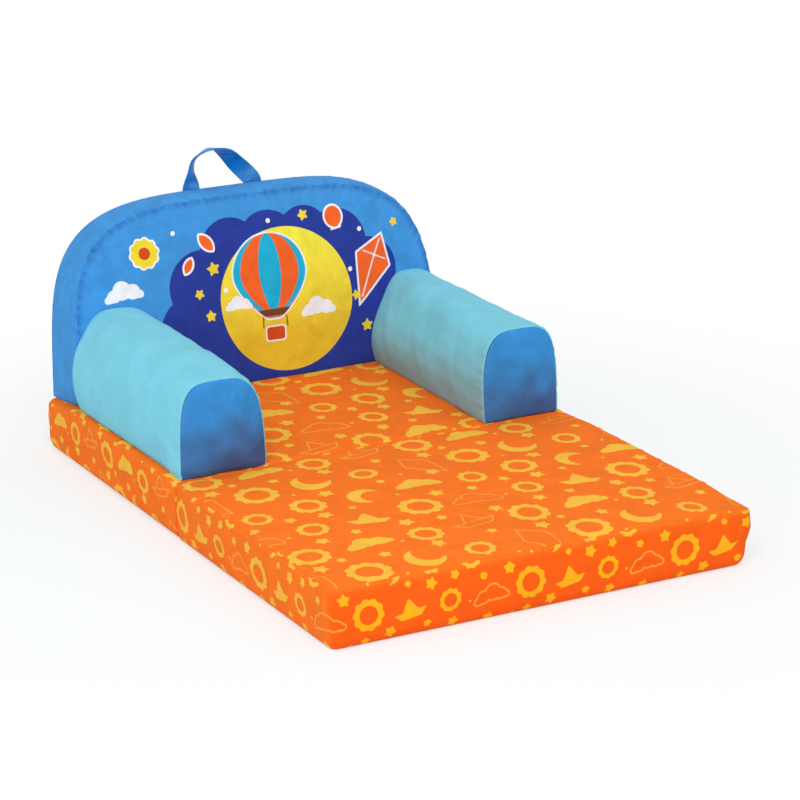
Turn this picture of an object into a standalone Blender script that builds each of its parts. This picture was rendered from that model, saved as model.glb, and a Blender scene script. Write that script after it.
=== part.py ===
"""Kids flip open sofa: a foam seat with arms and a backrest, and a foam slab that flips out in front.

Metres, +Z up, +X to the right when seen from the front. The origin is on the floor, under the middle of
the opened sofa. The seat block stands behind the crease, and the flip out slab lies in front of it.
"""

import math

import bmesh
import bpy
from mathutils import Matrix, Vector

# The two slabs
SOFA_WIDTH = 0.686
BASE_DEPTH = 0.500
PANEL_DEPTH = 0.500
SLAB_HEIGHT = 0.0965
CORNER_RADIUS = 0.010
BASE_EDGE_RADIUS = 0.007
PANEL_EDGE_RADIUS = 0.010
FOOT_INSET = 0.003
FOOT_HEIGHT = 0.008
SEAT_CROWN = 0.005
SEAT_MARGIN = 0.004
PANEL_CROWN = 0.005
SIDE_FLARE = 0.0065
END_FLARE = 0.0025
FLARE_START = 0.036
FLARE_FADE = 0.070

# The arms: an arch section, squarer on its outer shoulder than on its inner one. Towards the backrest
# it gets rounder and narrows at its foot, and its sides belly out
ARM_WIDTH = 0.143
ARM_HEIGHT = 0.148
ARM_INSET = 0.0105
ARM_SETBACK = 0.0035
ARM_LEAN = 0.008
ARM_SPLAY = 0.004
ARM_TURN = 0.004
ARM_TAPER = 0.0055
ARM_BELLY = 0.0095
ARM_SAG = 0.003
ARM_PUFF = 0.004
ARM_OUTER_POWER = 4.2
ARM_INNER_POWER = 3.4
ARM_REAR_OUTER_POWER = 2.7
ARM_REAR_INNER_POWER = 1.9
ARM_BELLY_SHARE = 0.75

# The backrest: a wedge under an arch, upright at the back and leaning at the front
BACK_INSET = 0.014
BACK_HEIGHT = 0.303
BACK_DEPTH_LOW = 0.128
BACK_DEPTH_HIGH = 0.0585
BACK_OVERHANG = 0.003
BACK_CROWN = 0.008
BACK_BULGE = 0.003
BACK_POWER = 4.0

# The carrying strap
HANDLE_WIDTH = 0.030
HANDLE_THICKNESS = 0.0026
HANDLE_SPAN = 0.113
HANDLE_RISE = 0.063
HANDLE_TAB = 0.034
HANDLE_LEFT_LEG = -0.072

# Cloth, seams and the clearances between neighbouring pieces
CLOTH = 0.0016
BOTTOM_CLOTH = 0.0012
GAP = 0.0003
SEAM_GAP = 0.0007
FOAM_GAP = 0.0006
HINGE_STRIP_DEPTH = 0.022

# The zips: tape, coil, slider and pull
ZIP_HEIGHT = 0.026
BASE_ZIP_LENGTH = 0.440
PANEL_ZIP_LENGTH = 0.360
TAPE_WIDTH = 0.016
TAPE_THICKNESS = 0.0008
TAPE_RECESS = 0.0006
COIL_WIDTH = 0.005
COIL_HEIGHT = 0.0012
COIL_END = 0.006
SLIDER_LENGTH = 0.010
SLIDER_WIDTH = 0.0085
SLIDER_PLATE = 0.0012
SLIDER_MARGIN = 0.010
BRIDGE_WIDTH = 0.002
BRIDGE_BAR = 0.0009
PULL_THICKNESS = 0.0012
PULL_WIDTH = 0.0056
PULL_LENGTH = 0.020
PULL_ROUND = 0.0016

# How finely the soft forms are divided
ROUND_SEGMENTS = 3
SLAB_COLUMNS = 8
SLAB_ROWS = 6
ARM_COLUMNS = 10
ARM_SIDE_ROWS = 6
ARM_LENGTH_ROWS = 14
BACK_COLUMNS = 14
BACK_SIDE_ROWS = 8
GUSSET_ROWS = 4
HANDLE_STEPS = 3

# How far a cutter runs past what it cuts
OVERRUN = 0.004

# The strap's path, seen from the front, as shares of its span and its rise, and how far it is turned
# from facing the front, as a share of a quarter turn
HANDLE_PATH_SHARES = (
    (0.00, 0.00, 0.00),
    (0.00, 0.41, 0.50),
    (0.05, 0.75, 0.62),
    (0.22, 0.95, 0.80),
    (0.40, 1.00, 0.88),
    (0.57, 0.84, 0.60),
    (0.74, 0.53, 0.33),
    (0.92, 0.20, 0.08),
    (1.00, 0.00, 0.00),
)

# Places that follow from the sizes
HANDLE_OVERHANG = HANDLE_WIDTH / 2 + BACK_OVERHANG
CREASE_Y = (PANEL_DEPTH - BASE_DEPTH - HANDLE_OVERHANG) / 2
SLAB_LOW = BOTTOM_CLOTH + GAP
SEAT_Z = SLAB_HEIGHT + GAP
BASE_REAR = CREASE_Y + BASE_DEPTH
BACK_WIDTH = SOFA_WIDTH - 2 * BACK_INSET
BACK_REAR = BASE_REAR + BACK_OVERHANG
BACK_FRONT_LOW = BACK_REAR - BACK_DEPTH_LOW
ARM_FRONT = CREASE_Y + ARM_SETBACK
ARM_CENTRE = SOFA_WIDTH / 2 - ARM_INSET - ARM_WIDTH / 2
ARM_INNER = ARM_CENTRE - ARM_WIDTH / 2
FOAM_INSET = CLOTH + FOAM_GAP
HINGE_AXIS = Vector((0, CREASE_Y, -GAP / 2))

# Colours from the photo, as sRGB hex
ORANGE = "F5702A"
TURQUOISE = "7FCFE0"
BLUE = "3A86CF"
BACK_BLUE = "4A93DC"
STRAP_BLUE = "1F7BD0"
UNDER_BLACK = "2B2B2F"
FOAM_CREAM = "EFE8D2"
ZIP_ORANGE = "E8641F"
ZIP_STEEL = "B9BDC2"


def clear_scene():
    for obj in list(bpy.data.objects):
        bpy.data.objects.remove(obj, do_unlink=True)


def new_collection(name):
    collection = bpy.data.collections.new(name)
    bpy.context.scene.collection.children.link(collection)
    return collection


def linear(hex_colour):
    """sRGB hex to the linear values that a shader takes."""
    shares = [int(hex_colour[i:i + 2], 16) / 255 for i in (0, 2, 4)]
    return [s / 12.92 if s <= 0.04045 else ((s + 0.055) / 1.055) ** 2.4 for s in shares] + [1]


def finish(obj, finish_name, hex_colour, roughness, metallic=0.0):
    """Gives the piece a material of its own."""
    material = bpy.data.materials.new(f"{obj.name}_{finish_name}")
    material.use_nodes = True
    shader = material.node_tree.nodes["Principled BSDF"]
    shader.inputs["Base Color"].default_value = linear(hex_colour)
    shader.inputs["Roughness"].default_value = roughness
    shader.inputs["Metallic"].default_value = metallic
    obj.data.materials.append(material)
    return obj


def cloth(obj, hex_colour):
    return finish(obj, "brushed_polyester", hex_colour, 0.85)


def foam(obj):
    return finish(obj, "polyurethane_foam", FOAM_CREAM, 0.95)


def object_from(bm, name, collection, origin=Vector(), parent=None):
    """Makes an object of the bmesh, whose origin is at the given point in the world."""
    bmesh.ops.translate(bm, verts=bm.verts[:], vec=-origin)
    mesh = bpy.data.meshes.new(name)
    bm.to_mesh(mesh)
    bm.free()
    mesh.shade_smooth()
    mesh.set_sharp_from_angle(angle=math.radians(35))
    obj = bpy.data.objects.new(name, mesh)
    collection.objects.link(obj)
    obj.location = origin
    if parent:
        obj.parent = parent
        obj.location = origin - parent.location
    return obj


def make_cutter(obj):
    obj.hide_render = True
    obj.display_type = "WIRE"
    return obj


def add_wall(obj, thickness):
    """Thickens an open surface inwards."""
    wall = obj.modifiers.new("wall", "SOLIDIFY")
    wall.thickness = thickness
    wall.offset = -1
    wall.use_even_offset = True
    return obj


def add_boolean(obj, cutter, operation):
    boolean = obj.modifiers.new(cutter.name, "BOOLEAN")
    boolean.operation = operation
    boolean.solver = "EXACT"
    boolean.object = cutter
    return obj


def face_up(bm):
    """Turns an open arch or lid so that its faces point out."""
    bmesh.ops.recalc_face_normals(bm, faces=bm.faces[:])
    top = max(bm.faces, key=lambda face: face.calc_center_median().z)
    if top.normal.z < 0:
        bmesh.ops.reverse_faces(bm, faces=bm.faces[:])


def bump(share):
    """1 in the middle of a side, falling to 0 at both ends and staying there."""
    return max(0.0, 1 - share * share)


def box_mesh(low, high):
    bm = bmesh.new()
    bmesh.ops.create_cube(bm, size=1)
    low, high = Vector(low), Vector(high)
    bmesh.ops.scale(bm, verts=bm.verts[:], vec=high - low)
    bmesh.ops.translate(bm, verts=bm.verts[:], vec=(low + high) / 2)
    return bm


# The slabs


class Slab:
    """One foam slab's outer shape. Its lines run between the front and the rear plane."""

    def __init__(self, front, rear, edge_radius, crown, zone):
        self.front = front
        self.rear = rear
        self.edge_radius = edge_radius
        self.crown = crown
        self.zone = zone

    def soften(self, point, inset):
        """Crowns the top inside its zone, and flares the sides out towards it, away from the crease."""
        half_y = (self.rear - self.front) / 2 - inset
        middle = (self.rear + self.front) / 2
        away = math.copysign(1, middle - CREASE_Y)
        x_share = point.x / (SOFA_WIDTH / 2 - inset)
        away_share = max(0.0, away * (point.y - middle) / half_y)
        height_share = (point.z - FLARE_START) / (SLAB_HEIGHT - inset - FLARE_START)
        height_share = min(1.0, max(0.0, height_share))
        zone_x, zone_front, zone_rear = self.zone
        zone_middle = (zone_front + zone_rear) / 2
        zone_share = (point.y - zone_middle) / (zone_rear - zone_middle)
        rise = self.crown * bump(point.x / zone_x) * bump(zone_share) * height_share
        lean_share = math.sin(math.pi / 2 * height_share)
        fade_share = min(1.0, abs(point.y - CREASE_Y) / FLARE_FADE) * lean_share
        point.x += math.copysign(SIDE_FLARE * fade_share * x_share ** 4, point.x)
        point.y += away * END_FLARE * lean_share * away_share ** 4
        point.z += rise


def slab_mesh(slab, inset):
    """The slab as one closed body, drawn in by inset on its sides and its top. Not softened yet."""
    bm = box_mesh(
        (-SOFA_WIDTH / 2 + inset, slab.front + inset, SLAB_LOW),
        (SOFA_WIDTH / 2 - inset, slab.rear - inset, SLAB_HEIGHT - inset),
    )
    upright = [e for e in bm.edges if (e.verts[0].co - e.verts[1].co).to_2d().length < GAP]
    bmesh.ops.bevel(
        bm, geom=upright, offset=CORNER_RADIUS - inset, segments=ROUND_SEGMENTS,
        profile=0.5, affect="EDGES", material=-1,
    )
    top = SLAB_HEIGHT - inset
    rim = [e for e in bm.edges if min(v.co.z for v in e.verts) > top - GAP]
    bmesh.ops.bevel(
        bm, geom=rim, offset=slab.edge_radius - inset, segments=ROUND_SEGMENTS,
        profile=0.5, affect="EDGES", material=-1,
    )
    middle = (slab.front + slab.rear) / 2
    heights = [SLAB_LOW + FOOT_HEIGHT, FLARE_START, (FLARE_START + SLAB_HEIGHT) / 2]
    cuts = [((0, 0, height), (0, 0, 1)) for height in heights]
    for column in range(1, SLAB_COLUMNS):
        x = (column / SLAB_COLUMNS * 2 - 1) * (SOFA_WIDTH / 2 - CORNER_RADIUS)
        cuts.append(((x, 0, 0), (1, 0, 0)))
    for row in range(1, SLAB_ROWS):
        y = middle + (row / SLAB_ROWS - 0.5) * (slab.rear - slab.front)
        cuts.append(((0, y, 0), (0, 1, 0)))
    zone_x, _, zone_rear = slab.zone
    if zone_x < SOFA_WIDTH / 2:
        cuts += [((zone_x, 0, 0), (1, 0, 0)), ((-zone_x, 0, 0), (1, 0, 0))]
    if zone_rear < slab.rear:
        cuts.append(((0, zone_rear, 0), (0, 1, 0)))
    for point, normal in cuts:
        geometry = bm.verts[:] + bm.edges[:] + bm.faces[:]
        bmesh.ops.bisect_plane(bm, geom=geometry, plane_co=point, plane_no=normal)
    for vert in bm.verts:
        if vert.co.z < SLAB_LOW + GAP:
            vert.co.x *= 1 - FOOT_INSET / (SOFA_WIDTH / 2)
            vert.co.y = middle + (vert.co.y - middle) * (1 - FOOT_INSET / (slab.rear - middle))
    return bm


def slab_piece(slab, keep, name, parent, origin):
    """The top panel or the side band: the slab's surface, parted where the top edge's rounding ends."""
    bm = slab_mesh(slab, 0)
    split = SLAB_HEIGHT - slab.edge_radius
    for face in bm.faces[:]:
        height = face.calc_center_median().z
        on_top = height > split
        is_bottom = height < SLAB_LOW + GAP
        if is_bottom or on_top != (keep == "top"):
            bmesh.ops.delete(bm, geom=[face], context="FACES")
    if keep == "side":
        for vert in bm.verts:
            if vert.co.z > split - GAP:
                vert.co.z -= SEAM_GAP
    for vert in bm.verts:
        slab.soften(vert.co, 0)
    bmesh.ops.recalc_face_normals(bm, faces=bm.faces[:])
    obj = object_from(bm, name, parts, origin, parent)
    return add_wall(obj, CLOTH)


def slab_foam(slab, name, parent, origin):
    bm = slab_mesh(slab, FOAM_INSET)
    for vert in bm.verts:
        slab.soften(vert.co, FOAM_INSET)
    bmesh.ops.recalc_face_normals(bm, faces=bm.faces[:])
    return foam(object_from(bm, name, parts, origin, parent))


def flat_cloth(name, front, rear, round_front, round_rear, parent, origin):
    """A flat piece of the cloth on the floor, with rounded corners where it meets the slab's."""
    half_x = SOFA_WIDTH / 2 - FOOT_INSET
    bm = box_mesh((-half_x, front, 0), (half_x, rear, BOTTOM_CLOTH))
    middle = (front + rear) / 2
    corners = []
    for edge in bm.edges:
        first, second = edge.verts[0].co, edge.verts[1].co
        upright = (first - second).to_2d().length < GAP
        if upright and (round_rear if first.y > middle else round_front):
            corners.append(edge)
    bmesh.ops.bevel(
        bm, geom=corners, offset=CORNER_RADIUS, segments=ROUND_SEGMENTS,
        profile=0.5, affect="EDGES", material=-1,
    )
    bmesh.ops.recalc_face_normals(bm, faces=bm.faces[:])
    return cloth(object_from(bm, name, parts, origin, parent), UNDER_BLACK)


def hinge_strip(name, front, rear, parent, origin):
    """Half of the cloth strip that joins the slabs, from the crease to the bottom cloth's edge."""
    half_x = SOFA_WIDTH / 2 - CORNER_RADIUS
    bm = box_mesh((-half_x, front, 0), (half_x, rear, BOTTOM_CLOTH))
    bmesh.ops.recalc_face_normals(bm, faces=bm.faces[:])
    return cloth(object_from(bm, name, parts, origin, parent), UNDER_BLACK)


# Arch shaped pieces


def arch_share(across, up, power):
    """Maps a point of a half square onto the arch: across runs -1 to 1, up runs 0 to 1."""
    reach = max(abs(across), up)
    if reach == 0:
        return 0.0, 0.0
    scale = reach / (abs(across) ** power + up ** power) ** (1 / power)
    return across * scale, up * scale


def back_power(across, step):
    return BACK_POWER


def arch_solid(columns, rows, power_at, place, steps):
    """A closed body: a filled arch carried along its depth. place takes across, up and a depth step."""
    bm = bmesh.new()
    bmesh.ops.create_grid(bm, x_segments=columns, y_segments=rows, size=1)
    shares = [(vert.co.x, (vert.co.y + 1) / 2) for vert in bm.verts]
    layer, faces = bm.verts[:], bm.faces[:]
    for step in range(steps + 1):
        if step:
            grown = bmesh.ops.extrude_face_region(bm, geom=faces)["geom"]
            by_place = {tuple(g.co): g for g in grown if isinstance(g, bmesh.types.BMVert)}
            layer = [by_place[tuple(vert.co)] for vert in layer]
            if step > 1:
                bmesh.ops.delete(bm, geom=faces, context="FACES")
            faces = [g for g in grown if isinstance(g, bmesh.types.BMFace)]
        for vert, (across, up) in zip(layer, shares):
            vert.co = place(*arch_share(across, up, power_at(across, step)), step)
    bmesh.ops.recalc_face_normals(bm, faces=bm.faces[:])
    return bm


def arch_band(columns, rows, power_at, place, steps):
    """An open band along an arch's edge. place takes across, up and a depth step."""
    along = columns + 2 * rows
    bm = bmesh.new()
    bmesh.ops.create_grid(bm, x_segments=along, y_segments=steps, size=1)
    for vert in bm.verts:
        count = round((vert.co.x + 1) / 2 * along)
        step = round((vert.co.y + 1) / 2 * steps)
        if count < rows:
            across, up = -1.0, count / rows
        elif count <= rows + columns:
            across, up = (count - rows) / columns * 2 - 1, 1.0
        else:
            across, up = 1.0, (along - count) / rows
        vert.co = place(*arch_share(across, up, power_at(across, step)), step)
    face_up(bm)
    return bm


# The backrest


def back_front(z):
    """Where the backrest's flat front plane is at a height."""
    share = (z - SEAT_Z) / BACK_HEIGHT
    return BACK_REAR - BACK_DEPTH_LOW - (BACK_DEPTH_HIGH - BACK_DEPTH_LOW) * share


def back_crown(x, z):
    """How far the backrest's front swells ahead of that plane. Nothing at its edge and beyond."""
    up_share = min(1.0, max(0.0, (z - SEAT_Z) / BACK_HEIGHT))
    across_share = abs(x) / (BACK_WIDTH / 2)
    reach = (across_share ** BACK_POWER + up_share ** BACK_POWER) ** (1 / BACK_POWER)
    return BACK_CROWN * max(0.0, 1 - reach ** 4) * (1 - (1 - up_share) ** 4)


def back_point(across, up, inset):
    """A point of the backrest's outline, drawn in by inset."""
    return across * (BACK_WIDTH / 2 - inset), SEAT_Z + up * (BACK_HEIGHT - inset)


def backrest_front_panel():
    def place(across, up, step):
        x, z = back_point(across, up, 0)
        return Vector((x, back_front(z) - back_crown(x, z) - CLOTH * (1 - step), z))

    bm = arch_solid(BACK_COLUMNS, BACK_SIDE_ROWS, back_power, place, 1)
    return cloth(object_from(bm, "backrest_front_panel", parts), BACK_BLUE)


def backrest_rear_panel():
    def place(across, up, step):
        x, z = back_point(across, up, 0)
        return Vector((x, BACK_REAR - CLOTH * (1 - step), z))

    bm = arch_solid(BACK_COLUMNS, BACK_SIDE_ROWS, back_power, place, 1)
    return cloth(object_from(bm, "backrest_rear_panel", parts), BACK_BLUE)


def backrest_gusset():
    def place(across, up, step):
        share = step / GUSSET_ROWS
        x, z = back_point(across, up, -BACK_BULGE * math.sin(math.pi * share))
        front = back_front(z) + GAP
        rear = BACK_REAR - CLOTH - GAP
        return Vector((x, front + (rear - front) * share, z))

    bm = arch_band(BACK_COLUMNS, BACK_SIDE_ROWS, back_power, place, GUSSET_ROWS)
    return cloth(add_wall(object_from(bm, "backrest_gusset", parts), CLOTH), BACK_BLUE)


def backrest_foam():
    def place(across, up, step):
        x, z = back_point(across, up, FOAM_INSET)
        if step:
            return Vector((x, BACK_REAR - CLOTH - FOAM_GAP, z))
        return Vector((x, back_front(z) - back_crown(x, z) + FOAM_GAP, z))

    bm = arch_solid(BACK_COLUMNS, BACK_SIDE_ROWS, back_power, place, 1)
    return foam(object_from(bm, "backrest_foam", parts))


def backrest_cutter(name, clearance):
    """The space that the backrest takes, from just ahead of its front, wider and taller than it is."""
    def place(across, up, step):
        x = across * (SOFA_WIDTH / 2 + OVERRUN * 2)
        z = SEAT_Z - OVERRUN + up * (BACK_HEIGHT + OVERRUN)
        if step:
            return Vector((x, BASE_REAR + OVERRUN, z))
        return Vector((x, back_front(z) - back_crown(x, z) - CLOTH - clearance, z))

    bm = bmesh.new()
    bmesh.ops.create_grid(bm, x_segments=BACK_COLUMNS, y_segments=BACK_SIDE_ROWS, size=1)
    grown = bmesh.ops.extrude_face_region(bm, geom=bm.faces[:])
    fresh = {g for g in grown["geom"] if isinstance(g, bmesh.types.BMVert)}
    for vert in bm.verts:
        vert.co = place(vert.co.x, (vert.co.y + 1) / 2, vert in fresh)
    bmesh.ops.recalc_face_normals(bm, faces=bm.faces[:])
    return make_cutter(object_from(bm, name, cutters))


# The arms


def arm_length_share(y):
    return min(1.0, max(0.0, (y - ARM_FRONT) / (BACK_FRONT_LOW - ARM_FRONT)))


def arm_power(across, y):
    """How square the arm's shoulder is at y: a higher power is squarer."""
    share = arm_length_share(y)
    if across > 0:
        return ARM_OUTER_POWER + (ARM_REAR_OUTER_POWER - ARM_OUTER_POWER) * share
    return ARM_INNER_POWER + (ARM_REAR_INNER_POWER - ARM_INNER_POWER) * share


def arm_rows(inset):
    """Steps from the arm's front to behind the backrest's face, as (y, how far drawn in)."""
    turn = ARM_TURN - inset
    rows = []
    for step in range(ROUND_SEGMENTS + 1):
        angle = math.pi / 2 * step / ROUND_SEGMENTS
        y = ARM_FRONT + inset + turn * (1 - math.cos(angle))
        rows.append((y, inset + turn * (1 - math.sin(angle))))
    start = rows[-1][0]
    end = BACK_REAR - BACK_DEPTH_HIGH
    for step in range(1, ARM_LENGTH_ROWS + 1):
        rows.append((start + (end - start) * step / ARM_LENGTH_ROWS, inset))
    return rows


def arm_point(side, across, up, y, inset):
    """A point of the arm's section at y. Behind its leaning front it splays, and its sides belly out."""
    length_share = arm_length_share(y)
    swell_share = math.sin(math.pi / 2 * length_share)
    belly_share = math.sin(math.pi * min(1.0, up / ARM_BELLY_SHARE))
    half = ARM_WIDTH / 2 - inset + (ARM_BELLY * belly_share - ARM_TAPER) * swell_share
    x = ARM_CENTRE + ARM_SPLAY * swell_share + across * half
    lean = ARM_LEAN * up * (1 - length_share)
    z = SEAT_Z + up * (ARM_HEIGHT - ARM_SAG * swell_share - inset)
    return Vector((side * x, y + lean, z))


def arm_sleeve(name, side, cutter):
    rows = arm_rows(0)

    def power(across, step):
        return arm_power(across, rows[step][0])

    def place(across, up, step):
        y, inset = rows[step]
        return arm_point(side, across, up, y, inset)

    bm = arch_band(ARM_COLUMNS, ARM_SIDE_ROWS, power, place, len(rows) - 1)
    obj = add_wall(object_from(bm, name, parts), CLOTH)
    return cloth(add_boolean(obj, cutter, "DIFFERENCE"), TURQUOISE)


def arm_foam(name, side, cutter):
    rows = arm_rows(FOAM_INSET)

    def power(across, step):
        return arm_power(across, rows[step][0])

    def place(across, up, step):
        y, inset = rows[step]
        return arm_point(side, across, up, y, inset)

    bm = arch_solid(ARM_COLUMNS, ARM_SIDE_ROWS, power, place, len(rows) - 1)
    return foam(add_boolean(object_from(bm, name, parts), cutter, "DIFFERENCE"))


def arm_front_panel(name, side):
    def power(across, step):
        return arm_power(across, ARM_FRONT)

    def place(across, up, step):
        point = arm_point(side, across, up, ARM_FRONT, ARM_TURN + SEAM_GAP)
        puff = ARM_PUFF * bump(across) * bump(2 * up - 1)
        point.y += CLOTH * step - puff
        return point

    bm = arch_solid(ARM_COLUMNS, ARM_SIDE_ROWS, power, place, 1)
    return cloth(object_from(bm, name, parts), BLUE)


# The carrying strap


def smooth_path(points, steps):
    """Points along a Catmull-Rom curve through the given ones, its ends included."""
    ends = [2 * points[0] - points[1], *points, 2 * points[-1] - points[-2]]
    path = []
    for index in range(len(points) - 1):
        before, start, end, after = ends[index:index + 4]
        for step in range(steps):
            t = step / steps
            path.append(
                (2 * start + (end - before) * t
                 + (2 * before - 5 * start + 4 * end - after) * t ** 2
                 + (3 * start - before - 3 * end + after) * t ** 3) / 2
            )
    return [*path, points[-1]]


def carry_handle():
    """A flat strap: both ends lie on the backrest's rear, and the loop between them turns edge on."""
    crest = SEAT_Z + BACK_HEIGHT
    tab_share = HANDLE_TAB / HANDLE_RISE
    first, last = HANDLE_PATH_SHARES[0], HANDLE_PATH_SHARES[-1]
    shares = [
        (first[0], -tab_share, 0), (first[0], -tab_share / 2, 0), *HANDLE_PATH_SHARES,
        (last[0], -tab_share / 2, 0), (last[0], -tab_share, 0),
    ]
    points = [Vector((x * HANDLE_SPAN, z * HANDLE_RISE, turn)) for x, z, turn in shares]
    path = smooth_path(points, HANDLE_STEPS)
    y = BACK_REAR + GAP + HANDLE_THICKNESS / 2
    bm = bmesh.new()
    bmesh.ops.create_grid(bm, x_segments=len(path) - 1, y_segments=1, size=1)
    for vert in bm.verts:
        index = round((vert.co.x + 1) / 2 * (len(path) - 1))
        ahead = path[min(index + 1, len(path) - 1)]
        behind = path[max(index - 1, 0)]
        along = Vector((ahead.x - behind.x, 0, ahead.y - behind.y)).normalized()
        inward = Vector((along.z, 0, -along.x))
        on_rear = path[index].y < GAP
        turn = 0 if on_rear else path[index].z * math.pi / 2
        width = inward * math.cos(turn) + Vector((0, 1, 0)) * math.sin(turn)
        middle = Vector((HANDLE_LEFT_LEG + path[index].x, y, crest + path[index].y))
        vert.co = middle + width * vert.co.y * HANDLE_WIDTH / 2
    bmesh.ops.recalc_face_normals(bm, faces=bm.faces[:])
    obj = object_from(bm, "carry_handle", parts)
    wall = obj.modifiers.new("wall", "SOLIDIFY")
    wall.thickness = HANDLE_THICKNESS
    wall.offset = 0
    return finish(obj, "satin_webbing", STRAP_BLUE, 0.5)


# The zips. Each is modelled along X on a wall that faces +Y, and then turned to its own wall


def keep_world(obj, parent):
    """Parents the piece without moving it."""
    if parent:
        obj.parent = parent
        obj.matrix_parent_inverse = Matrix.Translation(-parent.location)


def zip_box(name, low, high, frame, collection):
    obj = object_from(box_mesh(low, high), name, collection)
    obj.matrix_basis = frame
    return obj


def zip_cutter(name, low, high, frame):
    return make_cutter(zip_box(name, low, high, frame, cutters))


def zip_chain(prefix, wall, length, frame, parent):
    """The tape in its slot, and the coil standing on it."""
    half = length / 2
    slot = zip_cutter(
        f"{prefix}_zip_slot",
        (-half - GAP, -CLOTH - OVERRUN, -TAPE_WIDTH / 2 - GAP),
        (half + GAP, OVERRUN, TAPE_WIDTH / 2 + GAP), frame,
    )
    add_boolean(wall, slot, "DIFFERENCE")
    tape = zip_box(
        f"{prefix}_zip",
        (-half, -TAPE_RECESS - TAPE_THICKNESS, -TAPE_WIDTH / 2),
        (half, -TAPE_RECESS, TAPE_WIDTH / 2), frame, parts,
    )
    coil = zip_cutter(
        f"{prefix}_zip_coil",
        (-half + COIL_END, -TAPE_RECESS - TAPE_THICKNESS / 2, -COIL_WIDTH / 2),
        (half - COIL_END, -TAPE_RECESS + COIL_HEIGHT, COIL_WIDTH / 2), frame,
    )
    add_boolean(tape, coil, "UNION")
    keep_world(tape, parent)
    finish(tape, "zip_tape", ZIP_ORANGE, 0.7)


def zip_slider(prefix, length, frame, parent):
    """A channel over the coil, with a bridge on top that holds the pull, and the pull in it."""
    at = frame @ Matrix.Translation((length / 2 - COIL_END - SLIDER_MARGIN, 0, 0))
    foot = -TAPE_RECESS + GAP
    coil_top = -TAPE_RECESS + COIL_HEIGHT + GAP
    plate_top = coil_top + SLIDER_PLATE
    bridge_gap = PULL_THICKNESS * math.sqrt(2) + 2 * GAP
    bridge_top = plate_top + bridge_gap + BRIDGE_BAR
    bridge_reach = bridge_gap / 2 + BRIDGE_BAR
    slider = zip_box(
        f"{prefix}_zip_slider",
        (-SLIDER_LENGTH / 2, foot, -SLIDER_WIDTH / 2),
        (SLIDER_LENGTH / 2, plate_top, SLIDER_WIDTH / 2), at, parts,
    )
    channel = zip_cutter(
        f"{prefix}_slider_channel",
        (-SLIDER_LENGTH / 2 - OVERRUN, foot - OVERRUN, -COIL_WIDTH / 2 - GAP),
        (SLIDER_LENGTH / 2 + OVERRUN, coil_top, COIL_WIDTH / 2 + GAP), at,
    )
    bridge = zip_cutter(
        f"{prefix}_slider_bridge",
        (-bridge_reach, plate_top - SLIDER_PLATE / 2, -BRIDGE_WIDTH / 2),
        (bridge_reach, bridge_top, BRIDGE_WIDTH / 2), at,
    )
    bridge_hole = zip_cutter(
        f"{prefix}_bridge_hole",
        (-bridge_gap / 2, plate_top, -BRIDGE_WIDTH / 2 - OVERRUN),
        (bridge_gap / 2, plate_top + bridge_gap, BRIDGE_WIDTH / 2 + OVERRUN), at,
    )
    add_boolean(slider, channel, "DIFFERENCE")
    add_boolean(slider, bridge, "UNION")
    add_boolean(slider, bridge_hole, "DIFFERENCE")
    keep_world(slider, parent)
    finish(slider, "die_cast_zinc", ZIP_STEEL, 0.35, 1.0)

    pivot = at @ Matrix.Translation((0, plate_top + bridge_gap / 2, 0))
    window = math.hypot(bridge_reach, bridge_gap / 2 + BRIDGE_BAR) + GAP
    bm = box_mesh(
        (-PULL_LENGTH, -PULL_THICKNESS / 2, -PULL_WIDTH / 2),
        (PULL_THICKNESS / 2, PULL_THICKNESS / 2, PULL_WIDTH / 2),
    )
    tip = [e for e in bm.edges if all(v.co.x < -PULL_LENGTH / 2 for v in e.verts)
           and abs(e.verts[0].co.z - e.verts[1].co.z) < GAP]
    bmesh.ops.bevel(
        bm, geom=tip, offset=PULL_ROUND, segments=ROUND_SEGMENTS,
        profile=0.5, affect="EDGES", material=-1,
    )
    pull = object_from(bm, f"{prefix}_zip_pull", parts)
    pull.matrix_basis = pivot
    eye = zip_cutter(
        f"{prefix}_pull_eye",
        (-window, -PULL_THICKNESS / 2 - OVERRUN, -BRIDGE_WIDTH / 2 - GAP),
        (-PULL_THICKNESS / 2, PULL_THICKNESS / 2 + OVERRUN, BRIDGE_WIDTH / 2 + GAP), pivot,
    )
    add_boolean(pull, eye, "DIFFERENCE")
    keep_world(pull, parent)
    finish(pull, "die_cast_zinc", ZIP_STEEL, 0.35, 1.0)


clear_scene()
parts = new_collection("kids_flip_open_sofa")
cutters = new_collection("cutters")

flip_hinge = bpy.data.objects.new("flip_hinge", None)
flip_hinge.location = HINGE_AXIS
parts.objects.link(flip_hinge)

base_front = CREASE_Y + GAP / 2
panel_rear = CREASE_Y - GAP / 2
seat_zone = (ARM_INNER - SEAT_MARGIN, base_front, BACK_FRONT_LOW - CLOTH - SEAT_MARGIN)
base_slab = Slab(base_front, BASE_REAR, BASE_EDGE_RADIUS, SEAT_CROWN, seat_zone)
panel_slab = Slab(CREASE_Y - PANEL_DEPTH, panel_rear, PANEL_EDGE_RADIUS, PANEL_CROWN,
                  (SOFA_WIDTH / 2, CREASE_Y - PANEL_DEPTH, panel_rear))

# The seat block
slab_foam(base_slab, "base_foam", None, Vector())
cloth(slab_piece(base_slab, "top", "base_top_panel", None, Vector()), ORANGE)
base_band = cloth(slab_piece(base_slab, "side", "base_side_band", None, Vector()), ORANGE)
hinge_strip("hinge_strip_base", base_front, base_front + HINGE_STRIP_DEPTH, None, Vector())
flat_cloth("base_bottom_panel", base_front + HINGE_STRIP_DEPTH + SEAM_GAP, BASE_REAR - FOOT_INSET,
           False, True, None, Vector())

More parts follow.
